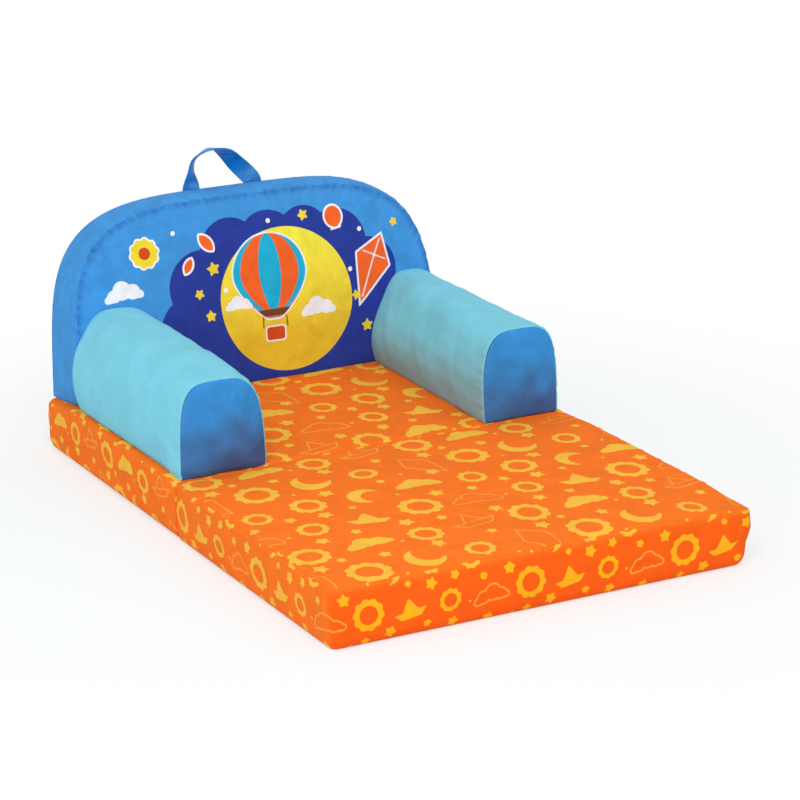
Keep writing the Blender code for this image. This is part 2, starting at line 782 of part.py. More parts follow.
# The flip out slab, carried by the hinge
slab_foam(panel_slab, "panel_foam", flip_hinge, HINGE_AXIS)
cloth(slab_piece(panel_slab, "top", "panel_top_panel", flip_hinge, HINGE_AXIS), ORANGE)
panel_band = cloth(
    slab_piece(panel_slab, "side", "panel_side_band", flip_hinge, HINGE_AXIS), ORANGE)
hinge_strip("hinge_strip_panel", panel_rear - HINGE_STRIP_DEPTH, panel_rear, flip_hinge, HINGE_AXIS)
flat_cloth("panel_bottom_panel", panel_slab.front + FOOT_INSET,
           panel_rear - HINGE_STRIP_DEPTH - SEAM_GAP, True, False, flip_hinge, HINGE_AXIS)

# The backrest
backrest_foam()
backrest_front_panel()
backrest_gusset()
backrest_rear_panel()
carry_handle()

# The arms
arm_cutter = backrest_cutter("backrest_space", FOAM_GAP)
for arm_name, arm_side in (("left", -1), ("right", 1)):
    arm_foam(f"{arm_name}_arm_foam", arm_side, arm_cutter)
    arm_sleeve(f"{arm_name}_arm_sleeve", arm_side, arm_cutter)
    arm_front_panel(f"{arm_name}_arm_front_panel", arm_side)

# The zips, on the base's rear and on the flip out slab's right side
base_zip_frame = Matrix.Translation((0, BASE_REAR, ZIP_HEIGHT))
panel_zip_frame = Matrix.Translation((SOFA_WIDTH / 2, (panel_slab.front + panel_rear) / 2, ZIP_HEIGHT))
panel_zip_frame @= Matrix.Rotation(-math.pi / 2, 4, "Z")
zip_chain("base", base_band, BASE_ZIP_LENGTH, base_zip_frame, None)
zip_slider("base", BASE_ZIP_LENGTH, base_zip_frame, None)
zip_chain("panel", panel_band, PANEL_ZIP_LENGTH, panel_zip_frame, flip_hinge)
zip_slider("panel", PANEL_ZIP_LENGTH, panel_zip_frame, flip_hinge)
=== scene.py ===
import math
from functools import partial

import bmesh
import bpy
import numpy as np
from mathutils import Matrix, Vector


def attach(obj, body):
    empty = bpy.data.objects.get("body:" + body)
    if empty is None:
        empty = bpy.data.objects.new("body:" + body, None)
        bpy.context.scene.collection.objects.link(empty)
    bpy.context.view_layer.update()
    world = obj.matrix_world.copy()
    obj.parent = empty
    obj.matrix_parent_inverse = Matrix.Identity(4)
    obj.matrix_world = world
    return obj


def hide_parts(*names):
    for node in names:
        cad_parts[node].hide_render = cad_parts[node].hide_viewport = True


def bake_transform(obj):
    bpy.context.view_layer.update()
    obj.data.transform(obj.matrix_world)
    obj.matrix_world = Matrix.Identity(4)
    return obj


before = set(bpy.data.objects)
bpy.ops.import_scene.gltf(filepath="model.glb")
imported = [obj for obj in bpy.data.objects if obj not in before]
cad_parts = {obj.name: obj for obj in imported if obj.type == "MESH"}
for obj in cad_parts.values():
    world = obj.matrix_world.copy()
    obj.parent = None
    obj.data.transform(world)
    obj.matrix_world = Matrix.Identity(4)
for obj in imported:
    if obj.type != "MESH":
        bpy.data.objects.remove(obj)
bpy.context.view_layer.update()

scene = bpy.context.scene
print("frame loaded:", len(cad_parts), "nodes")


def newObject(name, data):
    obj = bpy.data.objects.new(name, data)
    scene.collection.objects.link(obj)
    return obj


def aim(obj, place, direction, roll=0.0):
    obj.location = place
    obj.rotation_mode = "QUATERNION"
    turn = Matrix.Rotation(math.radians(roll), 4, "Z").to_quaternion()
    obj.rotation_quaternion = Vector(direction).to_track_quat("-Z", "Y") @ turn


# The camera, solved from the photo's corners
camera = {
    "lens": 137.887, "place": (-2.14416, -3.95298, 1.63482),
    "looksAlong": (0.460775, 0.831407, -0.310562), "roll": 0.062,
}
cameraObject = newObject("camera", bpy.data.cameras.new("camera"))
cameraObject.data.lens = camera["lens"]
cameraObject.data.sensor_width = 36
aim(cameraObject, camera["place"], camera["looksAlong"], camera["roll"])
scene.camera = cameraObject

# Sizes that several pieces share, in metres, as in the CAD
sofa = {
    "halfWidth": 0.343, "crease": -0.009, "slabHeight": 0.0965, "seatTop": 0.0968, "cloth": 0.0014,
    "floorCloth": 0.0012,  # the cloth under the slabs
    "leanFrom": 0.036,  # the slabs' walls stand straight below this height, and lean outwards above it
    "dip": 0.0045,  # how far the left arm's front foot presses into the slabs
    "dipLeft": (0.165, 0.05), "dipReach": (0.085, 0.035),  # where, and how far behind and before the crease
    "sagAcross": (0.26, 0.08), "sagBack": (0.35, 0.13),  # where the seat block's rear corners have sunk
}
crease, seatTop = sofa["crease"], sofa["seatTop"]
tiny = 0.000001  # keeps a division by nothing from failing


# Small tools

def unit(value):
    return np.clip(value, 0, 1)


def smooth(share):
    share = unit(share)
    return share * share * (3 - 2 * share)


def ramp(value, look):  # rises from 0 to 1: look is where it starts to rise, and over how far
    start, over = look
    return smooth((value - start) / over)


def bump(share):
    return np.maximum(0, 1 - share * share)


def pressed(distance, look):  # look is how deep a seam or edge is drawn in, and how far beside it that shows
    depth, width = look
    return depth * unit(1 - distance / width) ** 2


def ripple(along, lengths, seed):  # uneven waves, between about -1 and 1
    total = np.zeros_like(along)
    for count, length in enumerate(lengths):
        total = total + np.sin(2 * np.pi * along / length + seed * 1.9 + count * 2.4)
    return total / len(lengths)


def folds(fromSeam, along, look, seed):
    # Small folds beside a seam: look is their depth, how far they reach, the lengths of their waves, and
    # how wide the stitches are, on which there are none
    depth, reach, lengths, stitches = look
    waves = depth * np.exp(-fromSeam / reach) * ripple(along, lengths, seed)
    return waves * 2 * (1 - np.exp(-np.maximum(fromSeam, 0) / stitches)) if stitches else waves


def hills(x, y, look, seed):  # soft hills and hollows: look is their height and their length
    height, length = look
    total = np.zeros_like(x)
    for count in range(5):
        angle = seed * 1.3 + count * 2.1
        along = x * math.cos(angle) + y * math.sin(angle)
        total = total + np.sin(2 * np.pi * along / (length * (0.8 + 0.13 * count)) + seed * 2.7 + count * 1.1)
    return height * (total / 2.6)


def spread(length, fine, coarse, border):  # places along a run, close together near both ends
    ends = np.linspace(0, border, max(2, round(border / fine)) + 1)
    middle = np.linspace(border, length - border, max(1, round((length - 2 * border) / coarse)) + 1)
    return np.concatenate([ends[:-1], middle, (length - ends[:-1])[::-1]])


def pathLength(x, y):  # how far along a line each of its points is
    return np.concatenate([[0], np.cumsum(np.hypot(np.diff(x), np.diff(y)))])


def directions(x, y, along):
    dx, dy = np.gradient(x, along), np.gradient(y, along)
    size = np.hypot(dx, dy)
    return dx / size, dy / size


def roundCorner(x, y, endX, endY, radius):  # draws the square corner at endX, endY in to a round one
    room = np.maximum(radius, 0.00001)
    startX, startY = endX - radius, endY - radius
    u, v = (x - startX) / room, (y - startY) / room
    pull = np.maximum(u, v) / np.maximum(np.hypot(u, v), tiny)
    inCorner = (u > 0) & (v > 0) & (radius > 0.00001)
    return (np.where(inCorner, startX + radius * u * pull, x),
            np.where(inCorner, startY + radius * v * pull, y))


def gridPlaces(values, places, whole=True):  # where a grid's own -1 to 1 lies on the cloth
    cells = (values + 1) / 2 * (len(places) - 1)
    return np.interp(np.rint(cells) if whole else cells, np.arange(len(places)), places)


def toMesh(bm, mesh):
    bm.to_mesh(mesh)
    bm.free()
    return mesh


def formedGrid(name, columns, rows, place, inside, marks=None, hole=None, closed=False):
    # A flat grid of cloth, formed by place(column, row). The grid's own places stay as the cloth's UV map,
    # and marks gives what is printed or worn at each of them
    bm = bmesh.new()
    bmesh.ops.create_grid(bm, x_segments=len(columns) - 1, y_segments=len(rows) - 1, size=1)
    if hole:
        gone = []
        for face in bm.faces:
            middle = face.calc_center_median()
            c, r = gridPlaces(middle.x, columns, False), gridPlaces(middle.y, rows, False)
            if hole[0] < c < hole[1] and hole[2] < r < hole[3]:
                gone.append(face)
        bmesh.ops.delete(bm, geom=gone, context="FACES")
    mesh = toMesh(bm, bpy.data.meshes.new(name))
    flat = np.empty(len(mesh.vertices) * 3)
    mesh.vertices.foreach_get("co", flat)
    c, r = gridPlaces(flat[0::3], columns), gridPlaces(flat[1::3], rows)
    x, y, z = place(c, r)
    mesh.vertices.foreach_set("co", np.stack([x, y, z], axis=1).ravel())
    corners = np.empty(len(mesh.loops), dtype=int)
    mesh.loops.foreach_get("vertex_index", corners)
    layer = mesh.uv_layers.new(name="cloth")
    layer.data.foreach_set("uv", np.stack([c[corners], r[corners]], axis=1).ravel())
    if marks:
        for key, values in marks(c, r, x, y, z).items():
            mesh.attributes.new(key, "FLOAT", "POINT").data.foreach_set("value", values.astype(float))
    if closed:
        bm = bmesh.new()
        bm.from_mesh(mesh)
        bmesh.ops.remove_doubles(bm, verts=bm.verts[:], dist=0.00001)
        toMesh(bm, mesh)
    mesh.update()
    if sum(face.area * face.normal.dot(face.center - Vector(inside)) for face in mesh.polygons) < 0:
        mesh.flip_normals()
    mesh.shade_smooth()
    return mesh


def addWall(obj, thickness, offset=-1):
    wall = obj.modifiers.new("wall", "SOLIDIFY")
    wall.thickness, wall.offset, wall.use_even_offset = thickness, offset, False
    return wall


def giveWall(obj):
    # Gives the cloth its thickness inwards, and crisp edges where it is cut, so that no seam is shaded round
    wall = addWall(obj, sofa["cloth"])
    cloth, depsgraph = obj.data, bpy.context.evaluated_depsgraph_get()
    obj.data = bpy.data.meshes.new_from_object(obj.evaluated_get(depsgraph), preserve_all_data_layers=True,
                                               depsgraph=depsgraph)
    obj.modifiers.remove(wall)
    bpy.data.meshes.remove(cloth)
    obj.data.name = obj.name
    obj.data.set_sharp_from_angle(angle=math.radians(60))
    return obj


def dress(obj, node, material, body, slotName, fill=None):
    obj.data.materials.append(material)
    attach(obj, body)
    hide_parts(node)


def makeCover(name, node, finish, *grid, **extras):  # finish is its material, body, slot and fill
    dress(giveWall(newObject(name, formedGrid(name, *grid, **extras))), node, *finish)


def foamMesh(bm, mesh):
    # Turns the faces outwards, and puts points and faces in an order that is the same at each run
    bmesh.ops.recalc_face_normals(bm, faces=bm.faces[:])
    for parts in (bm.verts, bm.faces):
        parts.index_update()
        places = [tuple(p.co if isinstance(p, bmesh.types.BMVert) else p.calc_center_median()) for p in parts]
        ranks = {index: rank for rank, index in enumerate(sorted(range(len(places)), key=places.__getitem__))}
        parts.sort(key=lambda part: ranks[part.index])
    return toMesh(bm, mesh)


def makeFoam(name, node, columns, rows, steps, place):
    # The arms' and the backrest's foam: a grid that place(across, up, step) forms, carried back in steps
    bm = bmesh.new()
    bmesh.ops.create_grid(bm, x_segments=columns, y_segments=rows, size=1)
    layer, faces = bm.verts[:], bm.faces[:]
    squares = [(np.array([v.co.x]), np.array([(v.co.y + 1) / 2])) for v in layer]
    for step in range(steps + 1):
        if step:
            grown = bmesh.ops.extrude_face_region(bm, geom=faces)["geom"]
            byPlace = {tuple(g.co): g for g in grown if isinstance(g, bmesh.types.BMVert)}
            layer = [byPlace[tuple(vert.co)] for vert in layer]
            if step > 1:
                bmesh.ops.delete(bm, geom=faces, context="FACES")
            faces = [g for g in grown if isinstance(g, bmesh.types.BMFace)]
        for vert, square in zip(layer, squares):
            vert.co = [value[0] for value in place(*square, step)]
    mesh = foamMesh(bm, bpy.data.meshes.new(name))
    mesh.shade_smooth()
    mesh.set_sharp_from_angle(angle=math.radians(40))
    dress(newObject(name, mesh), node, foam, "seat_block", "foam", 1.0)


# Materials

zipHeights = (0.0174, 0.0346)  # the tapes' lower and upper edges


def linear(hexColour):
    shares = [int(hexColour[i:i + 2], 16) / 255 for i in (0, 2, 4)]
    return [s / 12.92 if s <= 0.04045 else ((s + 0.055) / 1.055) ** 2.4 for s in shares] + [1]


def perMetre(millimetres):  # texture scale for a feature of that size
    return 1000 / millimetres


def setInputs(node, inputs):  # a socket is linked, and a hex colour or a number is set
    for key, value in inputs.items():
        if isinstance(value, bpy.types.NodeSocket):
            node.id_data.links.new(value, node.inputs[key])
        else:
            node.inputs[key].default_value = linear(value) if isinstance(value, str) else value


def addNode(tree, kind, inputs=(), output=0, **properties):  # a list fills the inputs in their order
    node = tree.nodes.new("ShaderNode" + kind)
    for key, value in properties.items():
        setattr(node, key, value)
    setInputs(node, inputs if isinstance(inputs, dict) else dict(enumerate(inputs)))
    return node.outputs[output]


def newMaterial(name):
    material = bpy.data.materials.new(name)
    material.use_nodes = True
    return material, partial(addNode, material.node_tree)


def finishMaterial(material, inputs):
    setInputs(material.node_tree.nodes["Principled BSDF"], inputs)
    return material


# In a mix of colours input 0 is the share, 6 the colour below and 7 the one over it
colourMix = {"output": 2, "data_type": "RGBA"}
inkEdge, lineEdge = (0.0004, -0.0004), (0.0018, 0.0010)  # a print's edge is soft over the nap's width


def markDistance(add, name, place):  # a printed shape's distance, frayed a little by the nap
    mark = add("Attribute", output="Fac", attribute_name=name)
    fray = add("TexNoise", {"Vector": place, "Scale": perMetre(1.6), "Detail": 2})
    fray = add("MapRange", [fray, 0, 1, -0.0005, 0.0005])
    return add("Math", [mark, fray], operation="ADD")


def scatterPaint(add, place, look):  # the slabs' print: filled motifs and thin lined ones on orange
    solid, line = (markDistance(add, name, place) for name in ("solidMark", "lineMark"))
    line = add("Math", [line], operation="ABSOLUTE")
    ground, ink = look["colour"], look["solid"]
    if "deepColour" in look:
        # painted shade on the band's ends
        across = add("Attribute", output="Fac", attribute_name="acrossNap")
        ground = add("Mix", {0: across, 6: ground, 7: look["deepColour"]}, **colourMix)
        ink = add("Mix", {0: across, 6: ink, 7: look["deepSolid"]}, **colourMix)
    onLine, onSolid = add("MapRange", [line, *lineEdge]), add("MapRange", [solid, *inkEdge])
    colour = add("Mix", {0: onLine, 6: ground, 7: look["line"]}, **colourMix)
    return add("Mix", {0: onSolid, 6: colour, 7: ink}, **colourMix)


def paintFootShade(add, place, look):  # painted shade at the foot, greyed as if by the orange seat's reflected light
    shadeShare = add("Attribute", output="Fac", attribute_name="footNap")
    return add("Mix", {0: shadeShare, 6: look["colour"], 7: look["footColour"]}, **colourMix)


def picturePaint(add, place, look):
    # painted shade along the seam, in uneven dashes, as its puckers would cast
    seam = add("Attribute", output="Fac", attribute_name="seamNap")
    colour = add("Mix", {0: seam, 6: look["colour"], 7: look["seam"]}, **colourMix)
    height = add("MapRange", [add("SeparateXYZ", {"Vector": place}, "Z"), *look["discFade"]])
    disc = add("Mix", {0: height, 6: look["discLow"], 7: look["discTop"]}, **colourMix)
    for mark in ("patch", "disc", "rim", "orange", "cyan", "yellow", "white", "deep", "rope"):
        share = add("MapRange", [markDistance(add, mark + "Mark", place), *inkEdge])
        colour = add("Mix", {0: share, 6: colour, 7: disc if mark == "disc" else look[mark]}, **colourMix)
    return colour


def brushedPolyester(name, look, paint=None):
    # Knitted polyester with a short brushed nap: no gloss, a pale sheen at grazing angles, and cloudy
    # patches where the nap lies another way
    material, add = newMaterial(name)
    place = add("TexCoord", output="Object")
    cloudSize, cloudDepth, fibreSize, fibreDepth = (
        look[key] for key in ("cloudSize", "cloudDepth", "fibreSize", "fibreDepth"))
    clouds = add("TexNoise", {"Vector": place, "Scale": perMetre(cloudSize), "Detail": 4, "Distortion": 0.6})
    fibres = add("TexNoise", {"Vector": place, "Scale": perMetre(fibreSize), "Detail": 3, "Roughness": 0.7})
    napTone = add("MapRange", [clouds, 0.32, 0.68, 1 - cloudDepth, 1 + cloudDepth])
    fibreTone = add("MapRange", [fibres, 0.25, 0.75, 1 - fibreDepth, 1 + fibreDepth])
    tone = add("Math", [napTone, fibreTone], operation="MULTIPLY")
    colour = paint(add, place, look) if paint else linear(look["colour"])[:3]
    nap = add("Bump", {"Height": fibres, "Strength": look["napStrength"], "Distance": fibreSize / 4000})
    soft = add("Bump", {"Height": clouds, "Strength": 0.5, "Distance": cloudSize / 60000, "Normal": nap})
    return finishMaterial(material, {
        "Base Color": add("VectorMath", {0: colour, "Scale": tone}, operation="SCALE"),
        "Normal": soft, "Roughness": 0.92, "Specular IOR Level": 0.12, "Sheen Weight": look["sheen"],
        "Sheen Roughness": 0.45, "Sheen Tint": look["sheenTint"],
    })


# sizes in mm, and how strong each pattern is
clothLook = {
    "cloudSize": 40.0, "cloudDepth": 0.06, "fibreSize": 1.3, "fibreDepth": 0.09,
    "napStrength": 0.5, "sheen": 0.05, "sheenTint": "FFFFFF",
}
topLook = {**clothLook, "colour": "F97620", "solid": "F6BC40", "line": "F79E3C", "cloudDepth": 0.05,
           "sheen": 0.03, "sheenTint": "FFC890"}
# painted shade: the band's ends, which face front and back, are drawn deeper and redder than its sides
sideLook = {**topLook, "deepColour": "FC6212", "deepSolid": "FDB31A"}
# the foot colours of the sleeve and of the end panels are painted shade, greyed as if by the seat's orange
# reflected light
sleeveLook = {**clothLook, "colour": "7CCEE2", "footColour": "8F9FA8", "cloudSize": 60.0, "cloudDepth": 0.05,
              "sheen": 0.10, "sheenTint": "E8FBFF"}
blueLook = {**clothLook, "cloudDepth": 0.09, "sheenTint": "BFE0FF"}
endLook = {**blueLook, "colour": "3892DC", "footColour": "485689", "cloudSize": 34.0}
backLook = {**blueLook, "colour": "4595DA", "cloudSize": 28.0}
pictureLook = {
    # seam is the colour of the painted shade along the seam
    **blueLook, "cloudSize": 32.0, "colour": "4398E0", "seam": "2D62AA", "patch": "2B3F9E",
    "discTop": "F8F04C", "discLow": "ECC832", "discFade": (0.16, 0.32),  # the fade's foot and top
    "rim": "F6F8FF", "white": "F6F8FF", "orange": "F86A2C", "cyan": "22B6DE", "yellow": "F4DC3A",
    "deep": "D9501C", "rope": "7A4426",
}
printedTop = brushedPolyester("brushedPolyesterPrintedTop", topLook, scatterPaint)
printedSide = brushedPolyester("brushedPolyesterPrintedSide", sideLook, scatterPaint)
turquoiseCloth = brushedPolyester("brushedPolyesterTurquoise", sleeveLook, paintFootShade)
blueCloth = brushedPolyester("brushedPolyesterBlue", endLook, paintFootShade)
backCloth = brushedPolyester("brushedPolyesterBackBlue", backLook)
printedBack = brushedPolyester("brushedPolyesterPictureCloth", pictureLook, picturePaint)


def wovenPolyester():
    # Plain woven lining cloth, nearly black: threads about half a millimetre apart, drawn at 1.2 mm
    material, add = newMaterial("wovenPolyesterLining")
    place = add("TexCoord", output="Object")
    warp, weft = (add("TexWave", {"Vector": place, "Scale": perMetre(1.2) / 6.28}, bands_direction=way)
                  for way in "XY")
    threads = add("Math", [warp, weft], operation="MULTIPLY")
    return finishMaterial(material, {
        "Base Color": add("Mix", {0: threads, 6: "1F1F23", 7: "35353B"}, **colourMix), "Roughness": 0.8,
        "Normal": add("Bump", {"Height": threads, "Strength": 0.4, "Distance": 0.0002}),
    })


def openCellFoam():
    # Polyurethane foam, cut: cream, with fine open cells
    material, add = newMaterial("openCellFoam")
    place = add("TexCoord", output="Object")
    cells = add("TexVoronoi", {"Vector": place, "Scale": perMetre(1.8)})
    share = add("MapRange", [cells, 0, 0.6])
    return finishMaterial(material, {
        "Base Color": add("Mix", {0: share, 6: "D9CFB2", 7: "F3EDDA"}, **colourMix), "Roughness": 0.95,
        "Normal": add("Bump", {"Height": cells, "Strength": 0.6, "Distance": 0.0006}),
    })


def satinStrap():
    # Satin faced polyester strap: long floating threads along it, a soft gloss, darker in its folds
    material, add = newMaterial("satinFacedStrap")
    place = add("UVMap", uv_map="cloth")
    stretched = add("Mapping", {"Vector": place, "Scale": (0.12, 1.0, 1.0)})
    threads = add("TexNoise", {"Vector": stretched, "Scale": perMetre(0.9), "Detail": 2})
    clouds = add("TexNoise", {"Vector": place, "Scale": perMetre(22), "Detail": 3, "Distortion": 0.8})
    deeper = add("MapRange", [clouds, 0.3, 0.7])
    colour = add("Mix", {0: deeper, 6: "0362B0", 7: "0A7FD2"}, **colourMix)
    # painted highlight: the satin drawn paler where the strap bends towards the light
    highlight = add("Attribute", output="Fac", attribute_name="satinLift")
    broken = add("MapRange", [clouds, 0.35, 0.62, 0.45, 1])
    highlight = add("Math", [highlight, broken], operation="MULTIPLY")
    colour = add("Mix", {0: highlight, 6: colour, 7: "62B2E6"}, **colourMix)
    tone = add("MapRange", [threads, 0.3, 0.7, 0.92, 1.06])
    return finishMaterial(material, {
        "Base Color": add("VectorMath", {0: colour, "Scale": tone}, operation="SCALE"),
        "Normal": add("Bump", {"Height": threads, "Strength": 0.3, "Distance": 0.0002}),
        "Roughness": 0.46, "Specular IOR Level": 0.22,
    })


def wovenTape():
    # Zip tape: a fine twill in the cover's orange, with slanting ribs about a millimetre apart
    material, add = newMaterial("twillZipTape")
    place = add("TexCoord", output="Object")
    ribs = add("TexWave", {"Vector": place, "Scale": perMetre(1.1) / 6.28, "Distortion": 0.4},
               bands_direction="DIAGONAL")
    tape = add("Mix", {0: ribs, 6: "D2571A", 7: "EE7430"}, **colourMix)
    # the nylon coil along the tape's middle: a turn every 1.5 mm, paler and smoother than the tape
    height = add("SeparateXYZ", {"Vector": place}, "Z")
    offMiddle = add("Math", [height, sum(zipHeights) / 2], operation="SUBTRACT")
    offMiddle = add("Math", [offMiddle], operation="ABSOLUTE")
    onCoil = add("MapRange", [offMiddle, 0.0027, 0.0023])
    along = add("VectorMath", [place, (1, 1, 0)], "Value", operation="DOT_PRODUCT")
    turns = add("Math", [along, 2 * math.pi / 0.0015], operation="MULTIPLY")
    turns = add("Math", [turns], operation="SINE")
    turns = add("MapRange", [turns, -1, 1])
    coil = add("Mix", {0: turns, 6: "B94A16", 7: "F58A4A"}, **colourMix)
    raised = add("Mix", {0: onCoil, 2: ribs, 3: turns})
    return finishMaterial(material, {
        "Base Color": add("Mix", {0: onCoil, 6: tape, 7: coil}, **colourMix), "Roughness": 0.7,
        "Normal": add("Bump", {"Height": raised, "Strength": 0.6, "Distance": 0.0003}),
    })


def platedZinc():
    # Die cast zinc with a bright plating, tumbled: a soft metal shine with faint pits
    material, add = newMaterial("platedCastZinc")
    place = add("TexCoord", output="Object")
    pits = add("TexNoise", {"Vector": place, "Scale": perMetre(0.8), "Detail": 3})
    return finishMaterial(material, {
        "Base Color": add("Mix", {0: pits, 6: "A9ADB2", 7: "C8CBCF"}, **colourMix), "Metallic": 1.0,
        "Roughness": add("MapRange", [pits, 0, 1, 0.24, 0.42]),
    })


lining, foam, strapCloth, tapeCloth, castZinc = (
    wovenPolyester(), openCellFoam(), satinStrap(), wovenTape(), platedZinc())
print("materials made")


# Printed motifs: each function gives the distance to a shape's edge, less than zero inside it

def discShape(x, y, size):
    return np.hypot(x, y) - size


def daisyShape(x, y, size):
    return np.hypot(x, y) - size * (0.86 + 0.14 * np.abs(np.cos(5 * np.arctan2(y, x))))


def wreathShape(x, y, size):  # a ring with ten round petals outside
    return np.maximum(daisyShape(x, y, size), size * 0.58 - np.hypot(x, y))


def starShape(x, y, size):
    ax, ay = 0.809017, -0.587785  # the cosine and minus the sine of the 36 degrees from a point to a notch
    x = np.abs(x)
    for side in (1, -1):
        fold = 2 * np.maximum(side * ax * x + ay * y, 0)
        x, y = x - fold * side * ax, y - fold * ay
    x, y = np.abs(x), y - size
    sideX, sideY = -0.5 * ay, 0.5 * ax - 1
    along = np.clip((x * sideX + y * sideY) / (sideX ** 2 + sideY ** 2), 0, size)
    gap = np.hypot(x - sideX * along, y - sideY * along)
    return gap * np.sign(y * sideX - x * sideY) - 0.0012


def moonShape(x, y, size):
    return np.maximum(np.hypot(x, y) - size, size * 0.80 - np.hypot(x - size * 0.50, y - size * 0.16))


def cloudShape(x, y, size):
    puffs = [(-0.56, -0.06, 0.32), (-0.10, 0.16, 0.46), (0.44, 0.02, 0.37), (0.76, -0.16, 0.22),
             (-0.84, -0.18, 0.20)]
    gaps = [np.hypot(x - px * size, y - py * size) - r * size for px, py, r in puffs]
    return np.maximum(np.minimum.reduce(gaps), -0.34 * size - y)


def kiteShape(x, y, size):
    top = np.abs(x) * 0.80 + y * 0.60 - size * 0.60
    foot = np.abs(x) * 0.92 - y * 0.39 - size * 0.72
    return np.maximum(top, foot)


def kiteSpars(x, y, size):
    return np.minimum(np.abs(x), np.abs(y - size / 7)) - 0.0012


def boatShape(x, y, size):  # a folded paper boat: a hull, and a sail above it
    hull = np.maximum.reduce([y + size * 0.02, -y - size * 0.42, np.abs(x) * 0.72 - y * 0.69 - size * 0.70])
    sail = np.maximum(np.abs(x) * 0.86 + y * 0.51 - size * 0.38, -y - size * 0.02)
    return np.minimum(hull, sail)


def balloonShape(x, y, size):
    ball = np.hypot(x, (y - size * 0.15) * 0.9) - size * 0.8
    knot = np.maximum(np.abs(x) + (y + size * 0.55) * 0.9 - 0.001, -y - size * 0.80)
    return np.minimum(ball, np.maximum(knot, y + size * 0.5))


def leafShape(x, y, size):
    return np.maximum(np.hypot(x - size * 0.75, y), np.hypot(x + size * 0.75, y)) - size * 1.25


def boxShape(x, y, wide, high, corner):
    dx, dy = np.abs(x) - wide + corner, np.abs(y) - high + corner
    return np.hypot(np.maximum(dx, 0), np.maximum(dy, 0)) + np.minimum(np.maximum(dx, dy), 0) - corner


def turned(shape, x, y, size, turn):
    c, s = math.cos(math.radians(turn)), math.sin(math.radians(turn))
    return shape(x * c + y * s, y * c - x * s, size)


scatter = {
    # for each shape its x and y in the repeat and its size, all in mm, and a turn in degrees
    "repeat": (260, 252),
    "topScale": 1.38,  # the top panels are cut from the same print, drawn larger
    "solidMark": {
        wreathShape: [(30, 28, 25, 0), (160, 30, 17, 20), (130, 90, 20, 10), (256, 92, 23, 0),
                      (34, 158, 18, 14), (163, 160, 25, 6), (62, 222, 21, 0), (258, 214, 17, 8)],
        moonShape: [(98, 34, 22, 30), (128, 217, 20, -50)],
        cloudShape: [(66, 95, 28, 6), (196, 224, 27, -6)],
        boatShape: [(97, 154, 27, -10)],
        starShape: [(66, 60, 7, 0), (128, 60, 9, 20), (194, 64, 6, 8), (250, 56, 9, 30), (20, 68, 5, 12),
                    (28, 124, 8, 18), (70, 130, 6, 10), (128, 128, 9, 26), (166, 120, 6, 0),
                    (230, 118, 8, 14), (64, 188, 9, 22), (100, 194, 5, 0), (198, 188, 9, 0),
                    (240, 184, 6, 16), (26, 194, 7, 28), (96, 248, 9, 11), (164, 250, 5, 0),
                    (228, 250, 8, 24)],
        discShape: [(x, y, 2.5, 0) for x, y in ((64, 8), (194, 8), (98, 82), (2, 150), (160, 205))],
    },
    "lineMark": {
        kiteShape: [(226, 32, 24, 24)], boatShape: [(192, 98, 28, 12)], cloudShape: [(228, 152, 28, -8)],
    },
}


def scatterMarks(across, along, scale=1.0):
    # The print at places of the cloth, in metres; the repeat runs on over its own edges
    mm = scale / 1000
    wide, high = (size * mm for size in scatter["repeat"])
    marks = {}
    for key in ("solidMark", "lineMark"):
        nearest = np.full_like(across, 0.05)
        for shape, places in scatter[key].items():
            for x, y, size, turn in places:
                dx = (across - x * mm + wide / 2) % wide - wide / 2
                dy = (along - y * mm + high / 2) % high - high / 2
                gap = turned(shape, dx, dy, size * mm, turn)
                closer = gap < nearest if key == "solidMark" else np.abs(gap) < np.abs(nearest)
                nearest = np.where(closer, gap, nearest)
        marks[key] = nearest
    return marks


picture = {
    # places in mm: across from the middle, and up from the seat
    "patch": [(-118, 96, 66), (-132, 40, 60), (-98, 168, 62), (-44, 222, 54), (26, 226, 54), (92, 232, 48),
              (150, 212, 56), (204, 160, 54), (222, 96, 56), (196, 30, 70), (40, 110, 130), (110, 60, 120),
              (-40, 60, 120), (110, 150, 110)],
    "disc": (48, 130, 120),
    "balloon": (22, 176, 66),
    "basket": (22, 76),
    # shares of the balloon's radius: how much it narrows, over what drop and how steeply, how far its lower
    # half is drawn out, and where its mouth and the band round it are
    "narrows": (0.42, 1.15, 1.6), "drawnOut": 0.86, "mouth": 1.12, "band": 0.98, "stripes": 5.0,
    # in metres: half the basket's width and height and its corners, the ropes' slope, spread and half
    # thickness, how far above the basket's middle they start and end, and half the band's height
    "basketSize": (0.016, 0.011, 0.004), "ropes": (0.05, 0.0175, 0.0013), "ropeEnds": (0.010, 0.030),
    "bandHalf": 0.006, "rims": (0.0034, 0.0032, 0.0028), "kiteEdge": 0.003, "flowerMiddle": 10,
    "kite": (216, 176, 42, -26),
    "flower": (-196, 236, 24, 8),
    "orange": {leafShape: [(-86, 240, 17, 38), (-122, 206, 13, -30)], balloonShape: [(150, 252, 19, 8)]},
    "yellow": {starShape: [(-78, 196, 11, 10), (-108, 158, 8, 30), (-92, 120, 9, 0), (176, 120, 8, 14),
                           (94, 264, 9, 20), (192, 66, 10, 0), (272, 118, 8, 0), (262, 232, 7, 16)]},
    "white": {
        cloudShape: [(-238, 176, 34, 4), (104, 108, 32, 0), (-40, 132, 24, 0)],
        discShape: [(x, up, 4, 0) for x, up in ((-142, 262), (-60, 158), (170, 164), (30, 262), (196, 228))],
    },
}


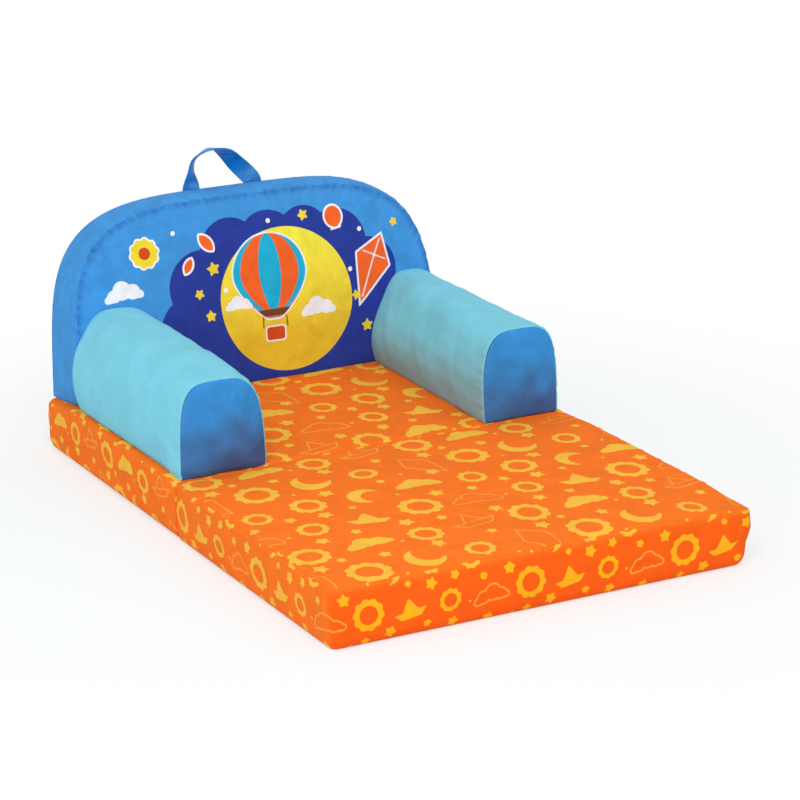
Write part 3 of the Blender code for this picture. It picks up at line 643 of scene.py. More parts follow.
def pictureMarks(x, up):
    def motif(shape, atX, atUp, size, turn):
        return turned(shape, x - atX / 1000, up - atUp / 1000, size / 1000, turn)

    def nearest(key):
        return np.minimum.reduce([motif(shape, *place) for shape, places in picture[key].items()
                                  for place in places])

    patch = np.minimum.reduce([motif(discShape, *puff, 0) for puff in picture["patch"]])
    # the balloon: a round envelope that narrows to its mouth, striped lengthwise
    bx, by, size = (value / 1000 for value in picture["balloon"])
    dx, dy = x - bx, up - by
    less, drop, steepness = picture["narrows"]
    narrow = np.where(dy < 0, 1 - less * unit(-dy / (size * drop)) ** steepness, 1.0)
    ball = np.hypot(dx / narrow, dy * np.where(dy < 0, picture["drawnOut"], 1.0)) - size
    envelope = np.maximum(ball, -dy - size * picture["mouth"])
    halfHere = np.sqrt(np.maximum(size ** 2 - np.minimum(np.abs(dy), size * 0.97) ** 2, 0.0001))
    stripe = np.arcsin(np.clip(dx / narrow / halfHere, -1, 1))
    stripes = np.where(envelope < 0.01, -np.cos(stripe * picture["stripes"]) * 0.012, 0.02)
    basketX, basketUp = (value / 1000 for value in picture["basket"])
    basket = boxShape(x - basketX, up - basketUp, *picture["basketSize"])
    slope, apart, thick = picture["ropes"]
    ropes = np.minimum(np.abs(dx + dy * slope - apart), np.abs(dx - dy * slope + apart)) - thick
    foot, top = picture["ropeEnds"]
    ropes = np.maximum(ropes, np.maximum(up - basketUp - top, basketUp + foot - up))
    band = np.maximum(envelope, np.abs(dy + size * picture["band"]) - picture["bandHalf"])
    # motifs in orange, yellow and white, the larger ones with a white rim
    kite, flower = motif(kiteShape, *picture["kite"]), motif(daisyShape, *picture["flower"])
    orange = np.minimum(kite, nearest("orange"))
    spars = np.maximum(motif(kiteSpars, *picture["kite"]), kite + picture["kiteEdge"])
    flowerMiddle = motif(discShape, *picture["flower"][:2], picture["flowerMiddle"], 0)
    orangeRim, flowerRim, balloonRim = picture["rims"]
    balloon = np.minimum(envelope, basket)
    rim = np.minimum.reduce([orange - orangeRim, flower - flowerRim, balloon - balloonRim])
    return {
        "patchMark": patch, "discMark": motif(discShape, *picture["disc"], 0), "rimMark": rim,
        "orangeMark": np.minimum(orange, envelope), "cyanMark": np.maximum(envelope, stripes),
        "yellowMark": np.minimum(flower, nearest("yellow")), "whiteMark": np.minimum(nearest("white"), spars),
        "deepMark": np.minimum(flowerMiddle, basket),
        "ropeMark": np.minimum(ropes, np.maximum(band, envelope)),
    }


# The two slabs: a foam block in a cover of a top panel, a side band and a bottom panel

slabCloth = {
    "nearCorner": 0.007, "flare": 0.0065, "endFlare": 0.0025, "flareFade": 0.070, "rightFlare": 0.0,
    "cornerPush": 0.0, "cornerSag": 0.0, "droop": 0.0, "seam": (0.0002, 0.0024),
    "topFolds": (0.0010, 0.014, (0.017, 0.024, 0.041), 0.004), "topHills": (0.0008, 0.11),
    "bandFolds": (0.0010, 0.014, (0.015, 0.023, 0.037), 0.004), "bandHills": (0.0008, 0.10),
    # wrinkles in the far corners, and how they slant and about what height
    "wrinkle": 0.0017, "wrinkleReach": 0.018, "wrinkleWaves": (0.0105, 0.0155), "wrinkleSlant": (0.06, 0.05),
    # the crown shows above this height, and these are how far from the borders the others come in
    "crownFrom": 0.06, "creaseReach": 0.06, "hillsFrom": 0.03, "bulgeFrom": 0.05, "napFrom": 0.016,
    "sagFlare": 0.75, "mostFlare": 1.02,  # the share of flare that a sunken corner loses, and its limit
    # where the far right corner sinks and is pushed out
    "sagRight": (0.24, 0.10), "sagFar": (0.38, 0.11), "pushFar": (0.43, 0.05), "pushUp": 0.003,
    "facing": (0.3, 0.5), "zipFade": 0.03,  # which cloth faces the zip's way, and where it is flat for it
    # mesh spacing at the borders and inside, and how wide the borders are
    "topGrid": (0.0016, 0.0031, 0.018), "bandGrid": (0.003, 0.0031, 0.01),
    "bandRows": (0.0015, 0.0031, 0.010), "foamGrid": (0.004, 0.012, 0.012),
    # the foam's rings below its edge: their heights, and how far each is drawn in
    "foamInset": 0.0050, "foamRings": ((0.050, 0), (0.036, 0), (0.016, 0), (0.008, 0.003)), "foamFoot": 0.009,
    "foamSide": 0.33, "foamEnd": 0.01,  # what is farther out than this, or nearer an end, is drawn in
}
seatSlab = {
    **slabCloth, "near": crease + 0.0002, "far": 0.491, "farCorner": 0.022, "edge": 0.0100,
    "creaseShare": 0.55, "crown": 0.005, "zone": (0.1855, -0.009, 0.3604), "droop": 0.0150,
    "tuck": (0.0070, 0.014), "bulge": 0.0022, "seed": 3.0,
}
flipSlab = {
    **slabCloth, "near": crease - 0.0002, "far": -0.509, "farCorner": 0.014, "edge": 0.0120,
    "creaseShare": 0.45, "crown": 0.0055, "zone": (0.343, -0.509, -0.009), "rightFlare": 0.0040,
    "cornerPush": 0.0045, "cornerSag": 0.0070, "tuck": (0.0050, 0.014), "bulge": 0.0045, "seed": 7.0,
}
for slab in (seatSlab, flipSlab):
    slab["middle"] = (slab["near"] + slab["far"]) / 2
    slab["halfDepth"] = abs(slab["far"] - slab["near"]) / 2
    slab["away"] = 1 if slab["far"] > slab["near"] else -1  # which way it lies from the crease


def rearSag(x, y):  # how far the seat block's rear corners have sunk, with what stands on them
    return ramp(np.abs(x), sofa["sagAcross"]) * ramp(y, sofa["sagBack"])


def footDip(x, y):  # the left arm presses the slabs down beside the crease
    behind, before = sofa["dipReach"]
    fade = np.where(y > crease, (y - crease) / behind, (crease - y) / before)
    return sofa["dip"] * ramp(-x, sofa["dipLeft"]) * (1 - smooth(fade))


def heightShare(z):
    return unit((z - sofa["leanFrom"]) / (sofa["slabHeight"] - sofa["leanFrom"]))


def softenSlab(slab, x, y, z):
    # Flares the walls out towards the top, crowns the top, and lets the corners sink
    fromCrease, raised = np.abs(y - slab["near"]), heightShare(z)
    lean = np.sin(np.pi / 2 * raised)
    fade = np.minimum(1, np.abs(y - crease) / slab["flareFade"]) * lean
    xShare = np.clip(np.abs(x) / sofa["halfWidth"], 0, slab["mostFlare"])
    awayShare = np.clip(slab["away"] * (y - slab["middle"]) / slab["halfDepth"], 0, slab["mostFlare"])
    zoneX, zoneFront, zoneRear = slab["zone"]
    zoneMiddle = (zoneFront + zoneRear) / 2
    rise = slab["crown"] * bump(x / zoneX) * bump((y - zoneMiddle) / (zoneRear - zoneMiddle))
    rise = rise * unit((z - slab["crownFrom"]) / (sofa["slabHeight"] - slab["crownFrom"]))
    cornerSag = slab["cornerSag"] * ramp(x, slab["sagRight"]) * ramp(fromCrease, slab["sagFar"])
    z = z + rise - (slab["droop"] * rearSag(x, y) + footDip(x, y) + cornerSag) * raised
    flare = (slab["flare"] + slab["rightFlare"] * (x > 0)) * (1 - slab["sagFlare"] * rearSag(x, y))
    x = x + np.sign(x) * flare * fade * xShare ** 4
    push = slab["cornerPush"] * (x > 0) * ramp(fromCrease, slab["pushFar"])
    x = x + push * xShare ** 4 * unit(z / slab["pushUp"])
    return x, y + slab["away"] * slab["endFlare"] * lean * awayShare ** 4, z


def creaseEdge(slab, y):  # how deep the edge's rounding is, less beside the crease
    fromCrease = np.abs(y - slab["near"])
    return slab["creaseShare"] + (1 - slab["creaseShare"]) * smooth(fromCrease / slab["creaseReach"])


def slabTop(slab, inset, lastTurn=math.pi / 4):
    # lastTurn is how far round the edge the panel reaches: to the seam, or for the foam to the wall
    edge, seed = slab["edge"], slab["seed"]
    arc = edge * lastTurn
    halfX, halfY = sofa["halfWidth"] - inset, slab["halfDepth"] - inset
    reachX, reachY = halfX + arc - edge, halfY + arc - edge

    def place(a, b):
        leftX, leftY = reachX - np.abs(a), reachY - np.abs(b)
        border = np.minimum(leftX, leftY)
        turn = lastTurn * (1 - unit(border / arc))
        swell = folds(border, np.where(leftX < leftY, b, a), slab["topFolds"], seed)
        swell = swell + hills(a, b, slab["topHills"], seed) * unit(border / slab["hillsFrom"])
        swell = swell - pressed(border, slab["seam"])
        back = np.where(border < arc, edge * (1 - np.sin(turn)), edge + border - arc) - swell * np.sin(turn)
        drop = edge * (1 - np.cos(turn)) - swell * np.cos(turn)
        x = np.abs(a) * (halfX - back) / np.maximum(reachX - border, tiny)
        y = np.abs(b) * (halfY - back) / np.maximum(reachY - border, tiny)
        corner = np.maximum(np.where(b > 0, slab["farCorner"], slab["nearCorner"]) - inset - back, 0)
        x, y = roundCorner(x, y, halfX - back, halfY - back, corner)
        x, y = x * np.sign(a), slab["middle"] + slab["away"] * y * np.sign(b)
        return softenSlab(slab, x, y, sofa["slabHeight"] - inset - drop * creaseEdge(slab, y))
    return place, reachX, reachY


def slabOutline(slab):
    # The wall's line seen from above, as places along it: x, y and which way it faces
    away, near, far, half = slab["away"], slab["near"], slab["far"], sofa["halfWidth"]
    points = [(0.0, near, 0.0, -away)]
    for x, y, start in ((half, near, -90), (half, far, 0), (-half, far, 90), (-half, near, 180)):
        radius = slab["nearCorner" if y == near else "farCorner"]
        middleX = x - math.copysign(radius, x)
        middleY = y + radius * (away if y == near else -away)
        for count in range(17):
            angle = math.radians((start + 90 * count / 16) * away)
            nx, ny = math.cos(angle), math.sin(angle)
            points.append((middleX + radius * nx, middleY + radius * ny, nx, ny))
    points = np.array([*points, points[0]])
    return pathLength(points[:, 0], points[:, 1]), points


def slabBand(slab, zipSide, zipReach):
    along, points = slabOutline(slab)
    low, edge, seed = sofa["floorCloth"] + 0.0003, slab["edge"], slab["seed"]
    wall = sofa["slabHeight"] - edge - low
    reach = wall + edge * math.pi / 4
    turns = [along[1 + 17 + 8], along[1 + 34 + 8]]  # the far corners, where the cloth wrinkles
    slant, level = slab["wrinkleSlant"]

    def place(s, run):
        x, y, nx, ny = (np.interp(s, along, points[:, i]) for i in range(4))
        depth = edge * creaseEdge(slab, y)
        top = sofa["slabHeight"] - depth
        angle = np.clip((run - wall) / edge, 0, math.pi / 4)
        z = np.where(run < wall, low + run / wall * (top - low), top + depth * np.sin(angle))
        plain = np.sin(np.pi * unit((z - low) / (top - low)))
        above = np.sin(np.pi * unit((z - sofa["leanFrom"]) / (top - sofa["leanFrom"])))
        pastZip = np.abs(x * zipSide[1] + (y - slab["middle"]) * zipSide[0]) - zipReach
        facing = ramp(nx * zipSide[0] + ny * zipSide[1], slab["facing"])
        facing = facing * (1 - smooth(pastZip / slab["zipFade"]))
        out = slab["bulge"] * (plain * (1 - facing) + above * facing)
        out = out * np.minimum(1, np.abs(y - slab["near"]) / slab["bulgeFrom"])
        waves = hills(s, z * 2.0, slab["bandHills"], seed + 1) * plain
        out = out + (folds(reach - run, s, slab["bandFolds"], seed) + waves) * (1 - facing)
        for turn in turns:
            near = np.exp(-((s - turn) / slab["wrinkleReach"]) ** 2) * plain
            out = out + slab["wrinkle"] * near * ripple(s + slant * (z - level), slab["wrinkleWaves"], seed)
        out = out - pressed(z - low, slab["tuck"]) - edge * (1 - np.cos(angle))
        groove = pressed(reach - run, slab["seam"])
        out, z = out - groove * np.cos(angle), z - groove * np.sin(angle)
        x, y, z = softenSlab(slab, x, y, z)
        return x + out * nx, y + out * ny, z
    return place, along, reach, wall, low


def makeSlab(prefix, slab, body, zipSide, zipReach, topShift, bandShift):
    middle = (0.0, slab["middle"], 0.045)

    # The printed top panel
    place, reachX, reachY = slabTop(slab, 0)
    columns, rows = (spread(2 * reach, *slab["topGrid"]) - reach for reach in (reachX, reachY))

    def topMarks(a, b, x, y, z):
        return scatterMarks(x + topShift[0], y + topShift[1], scatter["topScale"])

    makeCover(f"{prefix}TopPanel", f"{prefix}_top_panel", (printedTop, body, "printed_cloth", 0.95),
              columns, rows, place, middle, topMarks)

    # The printed band round the sides, with a slot for the zip
    place, along, reach, wall, low = slabBand(slab, zipSide, zipReach)
    columns, rows = spread(along[-1], *slab["bandGrid"]), spread(reach, *slab["bandRows"])
    zipRuns = [(height - low) / (sofa["slabHeight"] - slab["edge"] - low) * wall for height in zipHeights]
    if zipSide[0]:
        start = along[1 + 16] + slab["halfDepth"] - slab["nearCorner"]
    else:
        start = along[1 + 33] + sofa["halfWidth"] - slab["farCorner"]
    zipEnds = [start - zipReach, start + zipReach]
    for places, stops in ((columns, zipEnds), (rows, zipRuns)):
        for stop in stops:
            places[np.argmin(np.abs(places - stop))] = stop
    facing = slabOutline(slab)[1][:, 3]

    def bandMarks(s, run, x, y, z):
        marks = scatterMarks(s + bandShift[0], run + bandShift[1])
        ny = np.interp(s, along, facing)
        # painted shade on the ends that face front and back, fading out below the top seam
        marks["acrossNap"] = ramp(np.abs(ny), slab["facing"]) * smooth((reach - run) / slab["napFrom"])
        return marks

    makeCover(f"{prefix}SideBand", f"{prefix}_side_band", (printedSide, body, "printed_cloth", 0.95),
              columns, rows, place, middle, bandMarks, hole=(*zipEnds, *zipRuns), closed=True)

    # The foam block: the top's form drawn in, with walls and a flat underside
    place, reachX, reachY = slabTop(slab, slab["foamInset"], math.pi / 2)
    columns, rows = (spread(2 * reach, *slab["foamGrid"]) - reach for reach in (reachX, reachY))
    mesh = formedGrid(f"{prefix}Foam", columns, rows, place, middle)
    bm = bmesh.new()
    bm.from_mesh(mesh)
    rim = [edge for edge in bm.edges if edge.is_boundary]
    for height, tuck in (*slab["foamRings"], (low, slab["foamFoot"])):
        grown = bmesh.ops.extrude_edge_only(bm, edges=rim)["geom"]
        rim = [g for g in grown if isinstance(g, bmesh.types.BMEdge)
               and all(v.is_boundary for v in g.verts) and len(g.link_faces) == 1]
        for vert in {v for edge in rim for v in edge.verts}:
            lean, less = (math.sin(math.pi / 2 * heightShare(z)) for z in (vert.co.z, height))
            if abs(vert.co.x) > slab["foamSide"]:
                fade = min(1.0, abs(vert.co.y - crease) / slab["flareFade"])
                vert.co.x -= math.copysign(slab["flare"] * fade * (lean - less) + tuck, vert.co.x)
            if min(abs(vert.co.y - slab["far"]), abs(vert.co.y - slab["near"])) < slab["foamEnd"]:
                vert.co.y -= math.copysign(tuck, vert.co.y - slab["middle"])
            vert.co.z = height
    bmesh.ops.holes_fill(bm, edges=rim, sides=0)
    block = newObject(f"{prefix}Foam", foamMesh(bm, mesh))
    dress(block, f"{prefix}_foam", foam, body, "foam", 1.0)


makeSlab("base", seatSlab, "seat_block", (0, 1), 0.2203, (0.352, 0.118), (0.05, 0.03))
makeSlab("panel", flipSlab, "flip_slab", (1, 0), 0.1803, (0.31, 0.52), (0.0, 0.115))
print("slabs made")


# The bottom panels and the strip that joins the slabs: plain cloth, flat on the floor

bottoms = {
    "inset": 0.009, "strip": 0.022, "seam": 0.0007, "corner": 0.010, "front": -0.501, "rear": 0.483,
    "hills": (0.00025, 0.07),
}
clothHalf = sofa["halfWidth"] - bottoms["inset"]
stripEdge = bottoms["strip"] + bottoms["seam"]


def flatCloth(name, front, rear, roundRear, roundFront):
    middle, half = (front + rear) / 2, (rear - front) / 2

    def place(x, y):
        # rounds the corners that lie under the slab's own, and waves the cloth very slightly
        radius = bottoms["corner"] * np.where(y > middle, roundRear, roundFront)
        px, py = roundCorner(np.abs(x), np.abs(y - middle), clothHalf, half, radius)
        y = middle + py * np.sign(y - middle)
        wave = (bottoms["hills"][0] + hills(x, y, bottoms["hills"], 5.0)) * bump(x / clothHalf)
        return px * np.sign(x), y, np.clip(wave * bump((y - middle) / half), 0, 0.0003)

    rows = np.linspace(front, rear, max(4, round((rear - front) / 0.007)))
    columns = np.linspace(-clothHalf, clothHalf, 100)
    obj = newObject(name, formedGrid(name, columns, rows, place, (0, middle, 1.0)))
    addWall(obj, sofa["floorCloth"] - 0.0002)
    return obj


def makeBottom(prefix, body, front, rear, roundRear):
    panel = flatCloth(f"{prefix}BottomPanel", front, rear, roundRear, 1 - roundRear)
    dress(panel, f"{prefix}_bottom_panel", lining, body, "bottom_cloth")


makeBottom("base", "seat_block", crease + stripEdge, bottoms["rear"], 1)
makeBottom("panel", "flip_slab", bottoms["front"], crease - stripEdge, 0)
# one strip, sewn to both slabs, that lies flat across the crease
strip = flatCloth("hingeStrip", crease - bottoms["strip"], crease + bottoms["strip"], 0, 0)
strip.data.materials.append(lining)
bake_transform(strip)
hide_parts("hinge_strip_base", "hinge_strip_panel")
print("bottoms made")


# Arches: the arms and the backrest share this kind of outline

def archShares(across, up, powerOuter, powerInner):
    power = np.where(across > 0, powerOuter, powerInner)
    reach = np.maximum(np.abs(across), up)
    size = (np.abs(across) ** power + np.maximum(up, 0) ** power) ** (1 / power)
    scale = np.where(reach > 0, reach / np.maximum(size, tiny), 1.0)
    return across * scale, up * scale


# The backrest

backrest = {
    "halfWidth": 0.329, "height": 0.303, "rear": 0.494, "depthLow": 0.128, "depthHigh": 0.0585,
    "crown": 0.008, "power": 4.0, "rearPuff": 0.003, "puffUp": (0.40, 0.45), "inset": 0.0060,
    "foamFront": 0.0050, "bandGap": (0.0004, 0.0006), "sagReach": 0.16,
    "high": (0.17, 0.15), "shoulder": (0.80, 0.22), "frontHillsFrom": 0.05, "rearHillsFrom": (0.03, 0.05),
    "bulge": 0.003, "hollow": 0.0018,  # the band round it bulges above, and pulls in near its feet
    "frontFolds": (0.0021, 0.016, (0.013, 0.019, 0.031), 0), "frontHills": (0.0014, 0.12),
    "frontSeam": (0.0046, 0.009), "frontFoot": (0.0020, 0.012),
    "rearHills": (0.0008, 0.10), "rearSeam": (0.0025, 0.005), "rearFoot": (0.0015, 0.008),
    "bandFolds": (0.0012, 0.012, (0.013, 0.021, 0.034), 0), "bandHills": (0.0011, 0.09),
    "bandSeam": (0.0026, 0.006), "bandFoot": (0.0020, 0.006),
    "dashes": (0.011, 0.016, 0.047), "dashPlace": 0.0045,  # painted shade in dashes along the front's seam
    "reach": 0.30,  # about how far its edge is from the middle of its foot
    # the meshes: how near their last rows are to the edge and how many there are, and the band's spacing
    "frontColumns": (0.997, 288), "frontRows": (0.994, 133), "rearGrid": (170, 80), "foamGrid": (44, 24),
    "bandColumns": (0.0025, 0.003, 0.01), "bandRows": (0.016, 0.04, 0.08),
}


def backFront(z):
    share = (z - seatTop) / backrest["height"]
    return backrest["rear"] - backrest["depthLow"] + (backrest["depthLow"] - backrest["depthHigh"]) * share


def backCrown(x, z):
    up = unit((z - seatTop) / backrest["height"])
    across = np.abs(x) / backrest["halfWidth"]
    reach = (across ** 4 + up ** 4) ** 0.25
    return backrest["crown"] * np.maximum(0, 1 - reach ** 4) * (1 - (1 - up) ** 4)


def rearPuff(x, z):
    up = (z - seatTop) / backrest["height"]
    middle, half = backrest["puffUp"]
    return backrest["rearPuff"] * bump(x / backrest["halfWidth"]) * bump((up - middle) / half)


def backShares(a, b):
    return archShares(a, b, backrest["power"], backrest["power"])


def backPoint(across, up, inset=0.0):
    return across * (backrest["halfWidth"] - inset), seatTop + up * (backrest["height"] - inset)


def backSpot(a, b):  # x and z, and roughly how far inside the arch's edge and how far round it, in metres
    across, up = backShares(a, b)
    inside = 1 - (np.abs(across) ** 4 + np.maximum(up, 0) ** 4) ** 0.25
    return *backPoint(across, up), inside * backrest["reach"], np.arctan2(up, across) * backrest["reach"]


def settle(x, y, z):  # lets the backrest's lower corners follow the seat block's sunken ones
    return x, y, z - seatSlab["droop"] * rearSag(x, y) * (1 - smooth((z - seatTop) / backrest["sagReach"]))


def backFrontPlace(a, b):
    x, z, border, around = backSpot(a, b)
    wave = hills(x, z, backrest["frontHills"], 2.0) * unit(border / backrest["frontHillsFrom"])
    out = backCrown(x, z) + sofa["cloth"] + wave
    out = out + folds(border, around, backrest["frontFolds"], 2.0)
    out = out - pressed(border, backrest["frontSeam"]) - pressed(z - seatTop, backrest["frontFoot"])
    return settle(x, backFront(z) - out, z)


def backRearPlace(a, b):
    x, z, border, _ = backSpot(a, b)
    start, over = backrest["rearHillsFrom"]
    out = rearPuff(x, z) + hills(x, z, backrest["rearHills"], 4.0) * unit((border - start) / over)
    out = out - pressed(border, backrest["rearSeam"]) - pressed(z - seatTop, backrest["rearFoot"])
    return settle(x, backrest["rear"] + out, z)


def backEdge():
    # The arch's edge by length along it, from one foot over the crest to the other, and which way it faces
    t = np.linspace(0, 1, 400)
    across = np.concatenate([np.full(400, -1.0), 2 * t - 1, np.full(400, 1.0)])
    across, up = backShares(across, np.concatenate([t, np.full(400, 1.0), t[::-1]]))
    x, z = across * backrest["halfWidth"], up * backrest["height"]
    along = pathLength(x, z)
    keep = np.concatenate([[True], np.diff(along) > 0.0000001])
    along, across, up, x, z = (values[keep] for values in (along, across, up, x, z))
    tx, tz = directions(x, z, along)
    return along, across, up, -tz, tx


edgeRun, *edgeFacts = backEdge()


def gussetPlace(s, t):
    across, up, nx, nz = (np.interp(s, edgeRun, values) for values in edgeFacts)
    x, z = backPoint(across, up)
    frontGap, rearGap = backrest["bandGap"]
    front, rear = backFront(z) + frontGap, backrest["rear"] - rearGap
    y = front + (rear - front) * t
    high = ramp(z, backrest["high"])
    fromSeam = np.minimum(t, 1 - t) * (rear - front)
    middle, width = backrest["shoulder"]
    shoulder = np.exp(-((np.abs(across) - middle) / width) ** 2)
    out = backrest["bulge"] * high - backrest["hollow"] * (1 - high) + hills(s, y, backrest["bandHills"], 6.0)
    out = out * np.sin(np.pi * t) + folds(fromSeam, s, backrest["bandFolds"], 6.0) * (0.6 + shoulder)
    out = out - pressed(fromSeam, backrest["bandSeam"]) - pressed(z - seatTop, backrest["bandFoot"])
    return settle(x + out * nx, y, z + out * nz)


def backMarks(a, b, x, y, z):
    marks = pictureMarks(x, (z - seatTop) * 1.03)
    _, _, border, around = backSpot(a, b)
    # painted shade along the front's seam, in uneven dashes
    drawn = np.exp(-(border / backrest["dashPlace"] - 1) ** 2)
    marks["seamNap"] = drawn * (0.50 + 0.28 * ripple(around, backrest["dashes"], 4.0))
    return marks


def makeBackrest():
    middle = (0.0, 0.43, 0.2)
    plain = (backCloth, "seat_block", "backrest_cloth", 0.9)
    (side, wide), (top, high) = backrest["frontColumns"], backrest["frontRows"]
    columns = np.concatenate([[-1], np.linspace(-side, side, wide), [1]])
    rows = np.concatenate([np.linspace(0, top, high), [1]])
    printed = (printedBack, "seat_block", "backrest_print", 0.9)
    makeCover("backrestFrontPanel", "backrest_front_panel", printed, columns, rows, backFrontPlace, middle,
              backMarks)
    wide, high = backrest["rearGrid"]
    makeCover("backrestRearPanel", "backrest_rear_panel", plain, np.linspace(-1, 1, wide),
              np.linspace(0, 1, high), backRearPlace, middle)
    makeCover("backrestGusset", "backrest_gusset", plain, spread(edgeRun[-1], *backrest["bandColumns"]),
              spread(1, *backrest["bandRows"]), gussetPlace, middle)

    def foamPlace(a, b, step):  # the front's form drawn in and carried straight back
        x, z = backPoint(*backShares(a, b), backrest["inset"])
        front = backFront(z) - backCrown(x, z) + backrest["foamFront"]
        return settle(x, np.array([backrest["rear"] - backrest["inset"]]) if step else front, z)

    makeFoam("backrestFoam", "backrest_foam", *backrest["foamGrid"], 1, foamPlace)


makeBackrest()
print("backrest made")


# The arms: a turquoise sleeve over the top and sides, and a blue panel on the front end

arm = {
    "halfWidth": 0.0715, "height": 0.148, "centre": 0.261, "front": -0.0055, "lean": 0.008, "splay": 0.004,
    "turn": 0.0028, "crest": {-1: 0.0065, 1: 0.0}, "brow": {-1: 0.0045, 1: 0.0}, "belly": 0.0100,
    "bellyShare": 0.75, "sag": 0.003, "puff": 0.0095, "rearLow": 0.366, "reach": 0.40, "hem": 0.018,
    # how square each shoulder is: outer and inner in front, outer and inner at the backrest
    "squareness": {-1: (4.2, 3.4, 2.4, 4.2), 1: (4.0, 3.4, 4.0, 1.75)},
    # how much narrower the foot gets towards the backrest, outside and inside, and how much it is in front
    "taper": {-1: (0.0, -0.003), 1: (0.002, 0.007)},
    "frontTaper": {-1: (-0.002, -0.003), 1: (0.0, 0.005)},
    "sleeveFolds": (0.0010, 0.014, (0.014, 0.019, 0.027), 0.004), "sleeveHills": (0.0012, 0.095),
    "sleeveWaves": (0.0005, 0.038), "sleeveFoot": (0.0018, 0.007), "sleeveEnd": (0.0012, 0.012),
    "endFolds": (0.0005, 0.014, (0.0095, 0.0145, 0.021), 0.004), "endHills": (0.0010, 0.06),
    "endSeam": (0.0007, 0.003), "endReach": 0.09,
    "inset": 0.0060, "foamGap": 0.003, "foamFront": 0.004, "foamSteps": 6,
    # how far from its ends or foot each of these comes in or fades
    "crestFrom": 0.3, "browReach": 0.012, "dipFade": 0.35, "hillsFrom": 0.06, "wavesFrom": 0.03,
    "footFrom": 0.02, "endHillsFrom": 0.02,
    # where shade is painted low down: how much, how high up and how far in; on the ends how much and its
    # difference between the arms, from what height, how far up, how uneven, and the least share of it
    "rubbedSide": (0.62, 0.105, 0.05),
    "rubbedEnd": (0.84, 0.06, 0.002, 0.115, (0.12, 0.05), 0.70),
    "sleeveColumns": (0.0015, 0.0029, 0.008), "sleeveRows": (0.0014, 0.003, 0.016), "hemRows": 8,
    "endColumns": (-0.98, 0.98, 68), "endRows": (0.01, 0.985, 66), "foamGrid": (20, 14),
}


def armLength(y):
    return unit((y - arm["front"]) / (arm["rearLow"] - arm["front"]))


def armPowers(side, y):
    outer, inner, rearOuter, rearInner = arm["squareness"][side]
    length = armLength(y)
    return outer + (rearOuter - outer) * length, inner + (rearInner - inner) * length


def armPoint(side, across, up, y, inset):
    length = armLength(y)
    swell = np.sin(np.pi / 2 * length)
    belly = np.sin(np.pi * np.minimum(1, up / arm["bellyShare"]))
    taper = np.where(across > 0, *arm["taper"][side])
    frontTaper = np.where(across > 0, *arm["frontTaper"][side])
    half = arm["halfWidth"] - inset + (arm["belly"] * belly - taper) * swell
    half = half - frontTaper * (1 - swell) * (1 - unit(up)) ** 1.5
    x = arm["centre"] + arm["splay"] * swell + across * half
    # the crest rises a little behind the front edge, and sinks towards the backrest
    crest = arm["crest"][side] * smooth(length / arm["crestFrom"])
    crest = crest - arm["brow"][side] * np.exp(-(y - arm["front"]) / arm["browReach"])
    z = seatTop + up * (arm["height"] + crest - arm["sag"] * swell - inset)
    z = z - footDip(side * x, y) * (1 - smooth(up / arm["dipFade"]))
    return side * x, y + arm["lean"] * up * (1 - length), z


def halfSquareEdge():
    # The half square's edge from its inner foot over the top to its outer foot, and its length on the arch
    t = np.linspace(0, 1, 500)
    across = np.concatenate([np.full(500, -1.0), 2 * t[1:] - 1, np.full(499, 1.0)])
    up = np.concatenate([t, np.full(499, 1.0), t[::-1][1:]])
    a, u = archShares(across, up, 3.4, 3.0)
    return pathLength(a * arm["halfWidth"], u * arm["height"]), across, up


archRun, acrossAt, upAt = halfSquareEdge()


def sleevePlace(side):
    turn, reach = arm["turn"], arm["reach"]
    arc = turn * math.pi / 2

    def place(s, run):
        squareAcross, squareUp = np.interp(s, archRun, acrossAt), np.interp(s, archRun, upAt)
        angle = unit(run / arc) * math.pi / 2
        inset = turn * (1 - np.sin(angle)) + np.maximum(run - reach, 0)  # past reach the hem turns in
        start = arm["front"] + turn * (1 - np.cos(angle))
        share = unit((run - arc) / (reach - arc))
        y = start + share * 0.37
        for _ in range(3):  # each turn brings the last row nearer to the backrest's face
            across, up = archShares(squareAcross, squareUp, *armPowers(side, y))
            x, _, z = armPoint(side, across, up, y, inset)
            stop = backFront(z) - backCrown(x, z) - sofa["cloth"] - 0.0004
            y = start + share * (stop - start)
        power = np.where(across > 0, *armPowers(side, y)) - 1
        nx, nz = np.sign(across) * np.abs(across) ** power / arm["halfWidth"], up ** power / arm["height"]
        size = np.maximum(np.hypot(nx, nz), tiny)
        x, y, z = armPoint(side, across, up, y, inset)
        out = folds(run, s, arm["sleeveFolds"], 3.0 + side)
        out = out + hills(s, run, arm["sleeveHills"], 8.0 + side) * smooth(run / arm["hillsFrom"])
        middle = smooth(run / arm["wavesFrom"]) * smooth((reach - run) / arm["wavesFrom"])
        out = out + hills(s, run, arm["sleeveWaves"], 11.0 + side) * middle
        out = out * unit((z - seatTop) / arm["footFrom"]) - pressed(z - seatTop, arm["sleeveFoot"])
        out = out - pressed(reach - run, arm["sleeveEnd"])
        return x + side * out * nx / size, np.minimum(y, stop), z + out * nz / size
    return place


def armFrontPlace(side):
    def place(a, b):
        front = np.full_like(a, arm["front"])
        across, up = archShares(a, b, *armPowers(side, front))
        x, y, z = armPoint(side, across, up, front, arm["turn"] + 0.0001)
        border = (1 - np.maximum(np.abs(a), b)) * 0.07
        out = arm["puff"] * bump(across) ** 0.7 * bump(2 * up - 1) ** 0.6
        out = out + folds(border, np.arctan2(up, across) * arm["endReach"], arm["endFolds"], 5.0 + side)
        out = out + hills(x, z, arm["endHills"], 9.0 + side) * unit(border / arm["endHillsFrom"])
        out = out - pressed(np.minimum(border, z - seatTop), arm["endSeam"])
        return x, y - out, z
    return place


